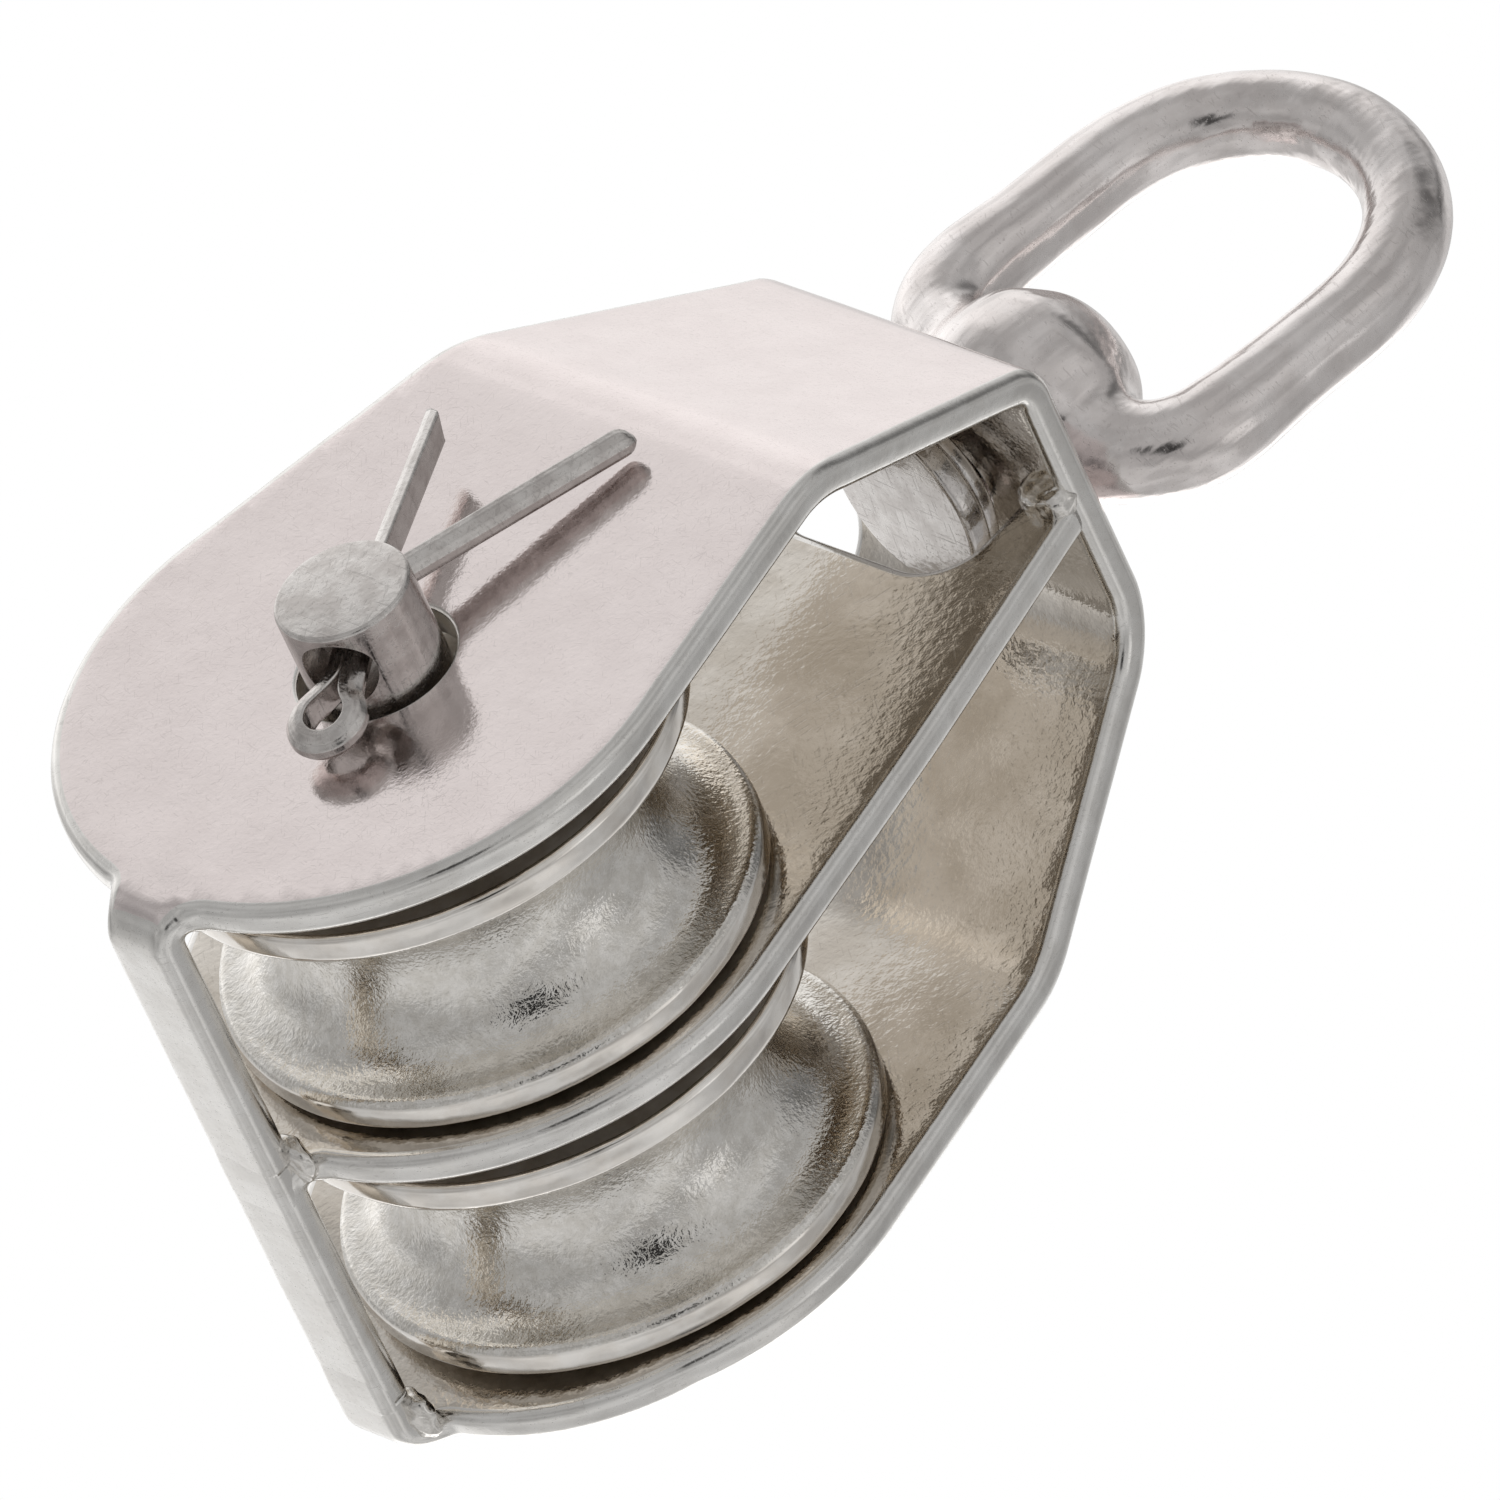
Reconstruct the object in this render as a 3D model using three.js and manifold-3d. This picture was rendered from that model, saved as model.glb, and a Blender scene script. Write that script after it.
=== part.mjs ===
// Double sheave block with a swivel eye: a bent outer strap, a centre plate, two grooved sheaves
// on one axle kept by a split pin, and a forged eye turning on the bridge of the strap.
// Millimetres. +Z points to the eye, -Y out of the front cheek, the axle lies along Y.
import * as THREE from "three";
import { mergeVertices } from "three/addons/utils/BufferGeometryUtils.js";
import Module from "manifold-3d";

const wasm = await Module();
wasm.setup();

const DEG = Math.PI / 180;

// Sheet metal of the frame
const SHEET = 2.8;
const SHEET_EDGE = 1.0;
const HALF_DEPTH = 27;
const LOBE_RADIUS = 25;
const LOBE_DROP = 0.8;
const SHOULDER_HEIGHT = 29;
const SHOULDER_HALF_WIDTH = 19.5;
const BRIDGE_HEIGHT = 53.8;
const BRIDGE_HALF_DEPTH = 13.4;
const BRIDGE_HALF_WIDTH = 14.2;
const BAR_BOTTOM = -28.9;
const BAR_HALF_WIDTH = 3.2;
const BAR_FILLET = 2.6;
const BAR_BEND = 3.5;
const SHOULDER_BEND = 12;
const FRONT_BRIDGE_BEND = 4.2;
const REAR_BRIDGE_BEND = 9;
const REAR_TAB_END = 22.6;
const REAR_FLARE = 1.8;
const REAR_FLARE_TOP = -14;
const JOINT_GAP = 0.05;

// U-shaped notch of the centre plate, which clears the head of the swivel pin
const NOTCH_HALF_WIDTH = 9.5;
const NOTCH_FLOOR = 40.9;
const NOTCH_CORNER = 4.5;

// Axle and its split pin
const AXLE_RADIUS = 5.3;
const AXLE_HOLE_RADIUS = 6.2;
const AXLE_PROTRUSION = 7.35;
const AXLE_HEAD_RADIUS = 7.6;
const AXLE_HEAD_THICKNESS = 2.1;
const AXLE_CHAMFER = 0.35;
const RUNNING_GAP = 0.3;
const CROSS_HOLE_RADIUS = 2.9;
const CROSS_HOLE_DEPTH = 30.7;
const SPLIT_PIN_ANGLE = 116 * DEG;
const SPLIT_PIN_OFFSET = 0.4;
const SPLIT_PIN_THICKNESS = 1.7;
const SPLIT_PIN_WIDTH = 2.4;
const SPLIT_PIN_SLIT = 0.06;
const SPLIT_PIN_RING = 2.4;
const SPLIT_PIN_RING_CENTRE = -8.9;
const SPLIT_PIN_RING_SHIFT = -0.5;
const SPLIT_PIN_NECK = -5.4;
const SPLIT_PIN_SINK_START = -2;
const SPLIT_PIN_SINK_SLOPE = 0.16;
const SHORT_LEG_END = 21.9;
const LONG_LEG_BEND_START = 3.3;
const LONG_LEG_BEND_RADIUS = 2;
const LONG_LEG_ANGLE = 40.5 * DEG;
const LONG_LEG_LENGTH = 20.9;
const LONG_LEG_DROP = 2.2;

// Sheaves
const SHEAVE_RADIUS = 21.2;
const SHEAVE_HALF_WIDTH = 9.8;
const SHEAVE_SPACING = 25.6;
const SHEAVE_BORE = 8.0;
const SHEAVE_REST = new THREE.Vector3(1.9, 1.1, -1.4);
const LIP_WIDTH = 2.2;
const GROOVE_RADIUS = 7.6;
const GROOVE_DEPTH = 6.6;
const SHEAVE_HUB_RADIUS = 10.8;
const SHEAVE_HUB_HALF_WIDTH = 10.0;
const SHEAVE_RIM_INNER = 17.2;
const WEB_RECESS = 1.6;
const WEB_SLOPE = 0.8;

// Swivel eye, its pin and washer, all on one leaning axis
const SWIVEL_LEAN = 6.3 * DEG;
const SWIVEL_LEAN_HEADING = 48.7 * DEG;
const SWIVEL_ANGLE = 9.6 * DEG;
const EYE_BAR = 3.52;
const EYE_HALF_WIDTH = 13.5;
const EYE_BASE = 7.15;
const EYE_TOP = 42.4;
const EYE_CORNER = 7.2;
const EYE_CROWN = 14.9;
// Hub of the eye as radius and height: a tucked-in foot, a plain waist and a domed shoulder
const HUB_PROFILE = [
  [0, 2.35],
  [6.4, 2.35],
  [8.3, 4.35],
  [8.6, 6.35],
  [8.5, 9.1],
  [7.7, 11.4],
  [5.8, 13.6],
  [3.3, 15],
  [0, 15.6],
];
const SWIVEL_PIN_RADIUS = 3.6;
const SWIVEL_HOLE_RADIUS = 4.5;
const SWIVEL_PIN_TOP = 11;
const SWIVEL_WASHER_RADIUS = 7.1;
const SWIVEL_WASHER_TOP = -2.4;
const SWIVEL_WASHER_THICKNESS = 1.3;
const SWIVEL_HEAD_RADIUS = 7.7;
const SWIVEL_HEAD_TOP = -3.8;
const SWIVEL_HEAD_THICKNESS = 2.0;
const SWIVEL_HEAD_CHAMFER = 0.4;

const AXLE_DIRECTION = new THREE.Vector3(0, 1, 0);
const PIVOT = new THREE.Vector3(0, 0, BRIDGE_HEIGHT - SHEET / 2);

function finish(color, roughness, metalness) {
  return new THREE.MeshStandardMaterial({ color, roughness, metalness });
}

// Shared vertices are merged so that the surface is closed.
function closed(geometry) {
  geometry.deleteAttribute("normal");
  geometry.deleteAttribute("uv");
  return mergeVertices(geometry, 1e-4);
}

function toSolid(geometry) {
  const merged = closed(geometry);
  const mesh = new wasm.Mesh({
    numProp: 3,
    vertProperties: new Float32Array(merged.attributes.position.array),
    triVerts: new Uint32Array(merged.index.array),
  });
  return new wasm.Manifold(mesh);
}

function toGeometry(solid) {
  const mesh = solid.getMesh();
  const geometry = new THREE.BufferGeometry();
  geometry.setAttribute("position", new THREE.BufferAttribute(mesh.vertProperties, 3));
  geometry.setIndex(new THREE.BufferAttribute(mesh.triVerts, 1));
  geometry.computeVertexNormals();
  return geometry;
}

// A section extruded one step per station, each step then laid where its station puts it.
function loft(section, stations) {
  const steps = stations.length - 1;
  const geometry = new THREE.ExtrudeGeometry(section, { depth: steps, steps, bevelEnabled: false });
  const position = geometry.attributes.position;
  for (let i = 0; i < position.count; i += 1) {
    const station = stations[Math.round(position.getZ(i))];
    const point = station(position.getX(i), position.getY(i));
    position.setXYZ(i, point.x, point.y, point.z);
  }
  return geometry;
}

function roundBar(radius, length, segments = 40) {
  return new THREE.CylinderGeometry(radius, radius, length, segments);
}

// Turned body about the Y axis from a closed or axis-to-axis profile of [radius, height].
function turned(profile, segments) {
  return new THREE.LatheGeometry(profile.map(([r, h]) => new THREE.Vector2(r, h)), segments);
}

// ---- Outline and path of bent sheet ----

// Lines joined by arcs in the YZ plane; at(s) gives the point and heading at a length along it.
function filletedPath(corners, radii) {
  const pieces = [];
  let start = corners[0].clone();
  let length = 0;
  const addLine = (to) => {
    const span = start.distanceTo(to);
    const heading = to.clone().sub(start).divideScalar(span);
    pieces.push({ kind: "line", from: length, span, start: start.clone(), heading });
    length += span;
    start = to.clone();
  };
  for (let i = 1; i < corners.length - 1; i += 1) {
    const before = corners[i].clone().sub(corners[i - 1]).normalize();
    const after = corners[i + 1].clone().sub(corners[i]).normalize();
    const turn = Math.atan2(before.cross(after), before.dot(after));
    const radius = radii[i - 1];
    const cut = radius * Math.tan(Math.abs(turn) / 2);
    addLine(corners[i].clone().addScaledVector(before, -cut));
    const side = Math.sign(turn);
    const centre = start.clone().add(new THREE.Vector2(-before.y, before.x).multiplyScalar(side * radius));
    const span = radius * Math.abs(turn);
    pieces.push({ kind: "arc", from: length, span, centre, radius, side, heading: before });
    length += span;
    start = corners[i].clone().addScaledVector(after, cut);
  }
  addLine(corners[corners.length - 1]);
  const at = (s) => {
    const piece = pieces.find((p) => s <= p.from + p.span + 1e-9) ?? pieces[pieces.length - 1];
    const run = s - piece.from;
    if (piece.kind === "line") {
      return { point: piece.start.clone().addScaledVector(piece.heading, run), heading: piece.heading };
    }
    const turn = (piece.side * run) / piece.radius;
    const heading = piece.heading.clone().rotateAround(new THREE.Vector2(), turn);
    const outward = new THREE.Vector2(heading.y, -heading.x).multiplyScalar(piece.side * piece.radius);
    return { point: piece.centre.clone().add(outward), heading };
  };
  return { pieces, length, at };
}

// Half-widths from the narrow bar, round the lobe and up to the shoulder, as [length, half-width].
function lobeOutline(lobe, shoulder) {
  const fromBar = BAR_HALF_WIDTH + BAR_FILLET;
  const reach = LOBE_RADIUS + BAR_FILLET;
  const run = Math.sqrt(reach * reach - fromBar * fromBar);
  const points = [];
  const filletEnd = -Math.atan2(fromBar, run);
  for (let i = 0; i <= 4; i += 1) {
    const angle = THREE.MathUtils.lerp(-Math.PI / 2, filletEnd, i / 4);
    points.push([lobe - run + BAR_FILLET * Math.cos(angle), fromBar + BAR_FILLET * Math.sin(angle)]);
  }
  const toShoulder = shoulder - lobe;
  const distance = Math.hypot(toShoulder, SHOULDER_HALF_WIDTH);
  const tangent = Math.atan2(SHOULDER_HALF_WIDTH, toShoulder) + Math.acos(LOBE_RADIUS / distance);
  const first = Math.PI - Math.asin(fromBar / reach);
  const arcSteps = 16;
  for (let i = 1; i <= arcSteps; i += 1) {
    const angle = THREE.MathUtils.lerp(first, tangent, i / arcSteps);
    points.push([lobe + LOBE_RADIUS * Math.cos(angle), LOBE_RADIUS * Math.sin(angle)]);
  }
  points.push([shoulder, SHOULDER_HALF_WIDTH]);
  return points;
}

// Extra stations wherever the path bends, so that each bend is round.
function withBendStations(outline, path, stepAngle = 15 * DEG) {
  const stations = outline.map((point) => [...point]);
  const widthAt = (s) => {
    const next = outline.findIndex((point) => point[0] >= s);
    const [s0, w0] = outline[next - 1];
    const [s1, w1] = outline[next];
    return THREE.MathUtils.lerp(w0, w1, (s - s0) / (s1 - s0));
  };
  for (const piece of path.pieces.filter((p) => p.kind === "arc")) {
    const steps = Math.ceil(piece.span / piece.radius / stepAngle);
    for (let i = 0; i <= steps; i += 1) {
      const s = piece.from + (piece.span * i) / steps;
      const near = stations.some((point) => Math.abs(point[0] - s) < 0.25);
      if (!near) {
        stations.push([s, widthAt(s)]);
      }
    }
  }
  return stations.sort((a, b) => a[0] - b[0]);
}

// Sheet of the given half-width outline with rounded edges, bent along the path.
function bentSheet(outline, path) {
  const half = 10;
  const section = new THREE.Shape();
  const corner = (x, y, from) => section.absarc(x, y, SHEET_EDGE, from, from + Math.PI / 2, false);
  const dx = half - SHEET_EDGE;
  const dy = SHEET / 2 - SHEET_EDGE;
  corner(dx, -dy, -Math.PI / 2);
  corner(dx, dy, 0);
  corner(-dx, dy, Math.PI / 2);
  corner(-dx, -dy, Math.PI);
  const edgePoints = section.extractPoints(2).shape;
  const stations = outline.map(([s, width], i) => {
    const before = outline[Math.max(i - 1, 0)];
    const after = outline[Math.min(i + 1, outline.length - 1)];
    const run = after[0] - before[0];
    const rise = after[1] - before[1];
    const slope = Math.hypot(run, rise);
    return (x, y) => {
      const inset = half - Math.abs(x);
      const along = s + (rise / slope) * inset;
      const across = Math.sign(x) * (width - (run / slope) * inset);
      const { point, heading } = path.at(THREE.MathUtils.clamp(along, 0, path.length));
      return new THREE.Vector3(across, point.x + heading.y * y, point.y - heading.x * y);
    };
  });
  return loft(new THREE.Shape(edgePoints), stations);
}

// Corners of the sheet's middle surface, half a thickness inside the outer faces.
function midSurfaceCorners() {
  const half = SHEET / 2;
  const rise = BRIDGE_HEIGHT - SHOULDER_HEIGHT;
  const lean = new THREE.Vector2(HALF_DEPTH - BRIDGE_HALF_DEPTH, rise).normalize();
  const moved = new THREE.Vector2(-HALF_DEPTH + lean.y * half, SHOULDER_HEIGHT - lean.x * half);
  const cheek = -HALF_DEPTH + half;
  const top = BRIDGE_HEIGHT - half;
  const shoulder = moved.y + ((cheek - moved.x) * lean.y) / lean.x;
  const bridge = moved.x + ((top - moved.y) * lean.x) / lean.y;
  return { cheek, top, shoulder, bridge, bar: BAR_BOTTOM + half };
}

function outerStrap() {
  const mid = midSurfaceCorners();
  const corners = [
    new THREE.Vector2(-SHEET / 2 - JOINT_GAP, mid.bar),
    new THREE.Vector2(mid.cheek, mid.bar),
    new THREE.Vector2(mid.cheek, mid.shoulder),
    new THREE.Vector2(mid.bridge, mid.top),
    new THREE.Vector2(-mid.bridge, mid.top),
    new THREE.Vector2(-mid.cheek, mid.shoulder),
    new THREE.Vector2(-mid.cheek, REAR_FLARE_TOP),
    new THREE.Vector2(-mid.cheek + REAR_FLARE, mid.bar),
    new THREE.Vector2(REAR_TAB_END, mid.bar),
  ];
  const half = SHEET / 2;
  const frontRadii = [BAR_BEND, SHOULDER_BEND, FRONT_BRIDGE_BEND];
  const rearRadii = [REAR_BRIDGE_BEND, SHOULDER_BEND, SHOULDER_BEND, BAR_BEND];
  const radii = [...frontRadii, ...rearRadii];
  const path = filletedPath(corners, radii.map((radius) => radius - half));
  const arcs = path.pieces.filter((piece) => piece.kind === "arc");
  const middle = (arc) => arc.from + arc.span / 2;
  const frontUpright = path.pieces[2];
  const rearUpright = path.pieces[10];
  const frontLobe = frontUpright.from + (-LOBE_DROP - frontUpright.start.y);
  const rearLobe = rearUpright.from + (rearUpright.start.y + LOBE_DROP);
  const front = lobeOutline(frontLobe, middle(arcs[1]));
  const rear = lobeOutline(-rearLobe, -middle(arcs[4])).map(([s, w]) => [-s, w]).reverse();
  const outline = [
    [0, BAR_HALF_WIDTH],
    ...front,
    [middle(arcs[2]), BRIDGE_HALF_WIDTH],
    [middle(arcs[3]), BRIDGE_HALF_WIDTH],
    ...rear,
    [path.length, BAR_HALF_WIDTH],
  ];
  let solid = toSolid(bentSheet(withBendStations(outline, path), path));
  solid = solid.subtract(toSolid(roundBar(AXLE_HOLE_RADIUS, 4 * HALF_DEPTH)));
  const swivelHole = roundBar(SWIVEL_HOLE_RADIUS, 4 * SHEET).rotateX(Math.PI / 2);
  swivelHole.translate(PIVOT.x, PIVOT.y, PIVOT.z);
  return toGeometry(solid.subtract(toSolid(swivelHole)));
}

// Upright plate between the sheaves; its tail turns rearward as the rear half of the bottom bar.
function centrePlate() {
  const mid = midSurfaceCorners();
  const top = BRIDGE_HEIGHT - SHEET - JOINT_GAP;
  const corners = [
    new THREE.Vector2(REAR_TAB_END - JOINT_GAP, mid.bar),
    new THREE.Vector2(0, mid.bar),
    new THREE.Vector2(0, top),
  ];
  const path = filletedPath(corners, [BAR_BEND - SHEET / 2]);
  const upright = path.pieces[2];
  const lengthAt = (z) => upright.from + z - upright.start.y;
  const outline = [
    [0, BAR_HALF_WIDTH],
    ...lobeOutline(lengthAt(-LOBE_DROP), lengthAt(SHOULDER_HEIGHT)),
    [path.length, BRIDGE_HALF_WIDTH],
  ];
  const notch = new THREE.Shape();
  const side = NOTCH_HALF_WIDTH;
  const centre = NOTCH_FLOOR + NOTCH_CORNER;
  notch.moveTo(side, BRIDGE_HEIGHT + 1);
  notch.lineTo(-side, BRIDGE_HEIGHT + 1);
  notch.absarc(-side + NOTCH_CORNER, centre, NOTCH_CORNER, Math.PI, 1.5 * Math.PI, false);
  notch.absarc(side - NOTCH_CORNER, centre, NOTCH_CORNER, -Math.PI / 2, 0, false);
  const depth = { depth: 4 * SHEET, bevelEnabled: false, curveSegments: 6 };
  const cutter = new THREE.ExtrudeGeometry(notch, depth);
  cutter.rotateX(Math.PI / 2);
  cutter.translate(0, 2 * SHEET, 0);
  let solid = toSolid(bentSheet(withBendStations(outline, path), path));
  solid = solid.subtract(toSolid(cutter));
  return toGeometry(solid.subtract(toSolid(roundBar(AXLE_HOLE_RADIUS, 4 * SHEET))));
}

// Weld bead along X with a quarter-round section, filling the corner at its own origin.
function cornerBead(length, size, ySide, zSide) {
  const quarter = new THREE.Shape();
  quarter.moveTo(0, 0);
  quarter.absarc(0, 0, size, 0, Math.PI / 2, false);
  const run = { depth: length, steps: 3, bevelEnabled: false, curveSegments: 5 };
  const bead = new THREE.ExtrudeGeometry(quarter, run);
  bead.translate(0, 0, -length / 2);
  bead.applyMatrix4(new THREE.Matrix4().set(0, 0, 1, 0, ySide, 0, 0, 0, 0, zSide, 0, 0, 0, 0, 0, 1));
  const flipped = ySide * zSide < 0;
  return flipped ? turnedInsideOut(closed(bead)) : closed(bead);
}

function turnedInsideOut(geometry) {
  const index = geometry.index.array;
  for (let i = 0; i < index.length; i += 3) {
    [index[i + 1], index[i + 2]] = [index[i + 2], index[i + 1]];
  }
  return geometry;
}

// ---- Axle, split pin and sheaves ----

function axlePin() {
  const front = -HALF_DEPTH - AXLE_PROTRUSION;
  const shoulder = HALF_DEPTH + RUNNING_GAP;
  const rear = shoulder + AXLE_HEAD_THICKNESS;
  const profile = [
    [0, front],
    [AXLE_RADIUS - AXLE_CHAMFER, front],
    [AXLE_RADIUS, front + AXLE_CHAMFER],
    [AXLE_RADIUS, shoulder],
    [AXLE_HEAD_RADIUS, shoulder],
    [AXLE_HEAD_RADIUS, rear - 2 * AXLE_CHAMFER],
    [AXLE_HEAD_RADIUS - 2 * AXLE_CHAMFER, rear],
    [0, rear],
  ];
  const crossHole = roundBar(CROSS_HOLE_RADIUS, 4 * AXLE_RADIUS, 28);
  crossHole.rotateZ(Math.PI / 2 + SPLIT_PIN_ANGLE);
  crossHole.rotateX(Math.PI / 2);
  crossHole.translate(0, -CROSS_HOLE_DEPTH, 0);
  return toGeometry(toSolid(turned(profile, 40)).subtract(toSolid(crossHole)));
}

// Centre line of the split pin in its own plane: [along the pin, across it, sink towards the cheek].
function splitPinLine() {
  const offset = SPLIT_PIN_THICKNESS / 2;
  const sunk = (along, across) => {
    const sink = Math.max(0, SPLIT_PIN_SINK_START - along) * SPLIT_PIN_SINK_SLOPE;
    return [along, across, sink];
  };
  const points = [
    sunk(SHORT_LEG_END, -offset),
    sunk(6, -offset),
    sunk(SPLIT_PIN_SINK_START, -offset),
    sunk(SPLIT_PIN_NECK, -offset),
  ];
  const ringStart = 38 * DEG;
  const ringSteps = 18;
  for (let i = 0; i <= ringSteps; i += 1) {
    const angle = ringStart + ((2 * Math.PI - 2 * ringStart) * i) / ringSteps;
    const along = SPLIT_PIN_RING_CENTRE + SPLIT_PIN_RING * Math.cos(angle);
    points.push(sunk(along, SPLIT_PIN_RING_SHIFT - SPLIT_PIN_RING * Math.sin(angle)));
  }
  points.push(sunk(SPLIT_PIN_NECK, offset), sunk(SPLIT_PIN_SINK_START, offset));
  const bendSteps = 4;
  for (let i = 0; i <= bendSteps; i += 1) {
    const angle = (LONG_LEG_ANGLE * i) / bendSteps;
    const along = LONG_LEG_BEND_START + LONG_LEG_BEND_RADIUS * Math.sin(angle);
    points.push([along, offset + LONG_LEG_BEND_RADIUS * (1 - Math.cos(angle)), 0]);
  }
  const [along, across] = points[points.length - 1];
  const run = LONG_LEG_LENGTH * Math.cos(LONG_LEG_ANGLE);
  const rise = LONG_LEG_LENGTH * Math.sin(LONG_LEG_ANGLE);
  points.push([along + run, across + rise, LONG_LEG_DROP]);
  return points;
}

// D-shaped wire: flat on the inside, so that the two legs lie face to face in the cross-hole.
function splitPin() {
  const along = new THREE.Vector3(Math.cos(SPLIT_PIN_ANGLE), 0, Math.sin(SPLIT_PIN_ANGLE));
  const across = new THREE.Vector3(along.z, 0, -along.x);
  const origin = new THREE.Vector3(0, -CROSS_HOLE_DEPTH, 0).addScaledVector(across, SPLIT_PIN_OFFSET);
  const line = splitPinLine();
  const section = new THREE.Shape();
  const halfWidth = SPLIT_PIN_WIDTH / 2;
  section.absellipse(0, 0, SPLIT_PIN_THICKNESS, halfWidth, Math.PI / 2, 1.5 * Math.PI, false, 0);
  const points = section.extractPoints(4).shape;
  const stations = line.map(([u, v, sink], i) => {
    const before = line[Math.max(i - 1, 0)];
    const after = line[Math.min(i + 1, line.length - 1)];
    const heading = new THREE.Vector2(after[0] - before[0], after[1] - before[1]).normalize();
    return (x, y) => {
      const out = x + (SPLIT_PIN_THICKNESS - SPLIT_PIN_SLIT) / 2;
      return origin.clone()
        .addScaledVector(along, u + heading.y * out)
        .addScaledVector(across, v - heading.x * out)
        .addScaledVector(AXLE_DIRECTION, sink - y);
    };
  });
  return closed(loft(new THREE.Shape(points), stations));
}

// Grooved wheel with rounded lips, a recessed web and a hub that stands proud of the rim.
function sheave() {
  const w = SHEAVE_HALF_WIDTH;
  const lip = LIP_WIDTH / 2;
  const profile = [
    [SHEAVE_BORE, -SHEAVE_HUB_HALF_WIDTH],
    [SHEAVE_HUB_RADIUS, -SHEAVE_HUB_HALF_WIDTH],
    [SHEAVE_HUB_RADIUS + WEB_SLOPE, -w + WEB_RECESS],
    [SHEAVE_RIM_INNER - WEB_SLOPE, -w + WEB_RECESS],
    [SHEAVE_RIM_INNER, -w],
  ];
  const lipSteps = 4;
  for (let i = 0; i <= lipSteps; i += 1) {
    const angle = (Math.PI * i) / lipSteps;
    profile.push([SHEAVE_RADIUS - lip + lip * Math.sin(angle), -w + lip - lip * Math.cos(angle)]);
  }
  const grooveSteps = 9;
  const floor = SHEAVE_RADIUS - GROOVE_DEPTH;
  for (let i = 1; i < grooveSteps; i += 1) {
    const angle = (Math.PI * i) / grooveSteps;
    const depth = (SHEAVE_RADIUS - lip - floor) * Math.sin(angle);
    profile.push([SHEAVE_RADIUS - lip - depth, -GROOVE_RADIUS * Math.cos(angle)]);
  }
  for (let i = 0; i <= lipSteps; i += 1) {
    const angle = (Math.PI * i) / lipSteps;
    profile.push([SHEAVE_RADIUS - lip + lip * Math.sin(angle), w - lip - lip * Math.cos(angle)]);
  }
  profile.push(
    [SHEAVE_RIM_INNER, w],
    [SHEAVE_RIM_INNER - WEB_SLOPE, w - WEB_RECESS],
    [SHEAVE_HUB_RADIUS + WEB_SLOPE, w - WEB_RECESS],
    [SHEAVE_HUB_RADIUS, SHEAVE_HUB_HALF_WIDTH],
    [SHEAVE_BORE, SHEAVE_HUB_HALF_WIDTH],
    [SHEAVE_BORE, -SHEAVE_HUB_HALF_WIDTH],
  );
  return closed(turned(profile, 40));
}

// ---- Swivel eye: local Z is the swivel axis, local zero is the middle of the bridge ----

// Centre line of the eye from the hub, out to one side, over the crown and back to the hub.
function eyeLine() {
  const points = [[1.5, EYE_BASE], [EYE_HALF_WIDTH - EYE_CORNER, EYE_BASE]];
  const cornerSteps = 6;
  for (let i = 1; i <= cornerSteps; i += 1) {
    const angle = (Math.PI / 2) * (i / cornerSteps - 1);
    const across = EYE_HALF_WIDTH - EYE_CORNER + EYE_CORNER * Math.cos(angle);
    points.push([across, EYE_BASE + EYE_CORNER + EYE_CORNER * Math.sin(angle)]);
  }
  const crownSteps = 9;
  for (let i = 0; i <= crownSteps; i += 1) {
    const angle = (Math.PI / 2) * (i / crownSteps);
    points.push([EYE_HALF_WIDTH * Math.cos(angle), EYE_TOP - EYE_CROWN + EYE_CROWN * Math.sin(angle)]);
  }
  const mirrored = points.slice(0, -1).map(([x, z]) => [-x, z]).reverse();
  return [...points, ...mirrored];
}

function swivelEye() {
  const line = eyeLine();
  const stations = line.map(([u, z], i) => {
    const before = line[Math.max(i - 1, 0)];
    const after = line[Math.min(i + 1, line.length - 1)];
    const heading = new THREE.Vector2(after[0] - before[0], after[1] - before[1]).normalize();
    return (x, y) => new THREE.Vector3(u + heading.y * x, y, z - heading.x * x);
  });
  const bar = new THREE.Shape();
  bar.absarc(0, 0, EYE_BAR, 0, 2 * Math.PI, false);
  const section = bar.extractPoints(7).shape.slice(0, -1);
  const ring = toSolid(loft(new THREE.Shape(section), stations));
  const hub = toSolid(turned(HUB_PROFILE, 36).rotateX(Math.PI / 2));
  const socket = roundBar(SWIVEL_PIN_RADIUS + RUNNING_GAP, 2 * (SWIVEL_PIN_TOP + RUNNING_GAP), 28);
  return toGeometry(ring.add(hub).subtract(toSolid(socket.rotateX(Math.PI / 2))));
}

function swivelPin() {
  const under = SWIVEL_HEAD_TOP - SWIVEL_HEAD_THICKNESS;
  const profile = [
    [0, under],
    [SWIVEL_HEAD_RADIUS - SWIVEL_HEAD_CHAMFER, under],
    [SWIVEL_HEAD_RADIUS, under + SWIVEL_HEAD_CHAMFER],
    [SWIVEL_HEAD_RADIUS, SWIVEL_HEAD_TOP - SWIVEL_HEAD_CHAMFER],
    [SWIVEL_HEAD_RADIUS - SWIVEL_HEAD_CHAMFER, SWIVEL_HEAD_TOP],
    [SWIVEL_PIN_RADIUS, SWIVEL_HEAD_TOP],
    [SWIVEL_PIN_RADIUS, SWIVEL_PIN_TOP],
    [0, SWIVEL_PIN_TOP],
  ];
  return closed(turned(profile, 36).rotateX(Math.PI / 2));
}

function swivelWasher() {
  const inner = SWIVEL_PIN_RADIUS + RUNNING_GAP;
  const bottom = SWIVEL_WASHER_TOP - SWIVEL_WASHER_THICKNESS;
  const profile = [
    [inner, bottom],
    [SWIVEL_WASHER_RADIUS, bottom],
    [SWIVEL_WASHER_RADIUS, SWIVEL_WASHER_TOP],
    [inner, SWIVEL_WASHER_TOP],
    [inner, bottom],
  ];
  return closed(turned(profile, 36).rotateX(Math.PI / 2));
}

// ---- Assembly ----

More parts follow.
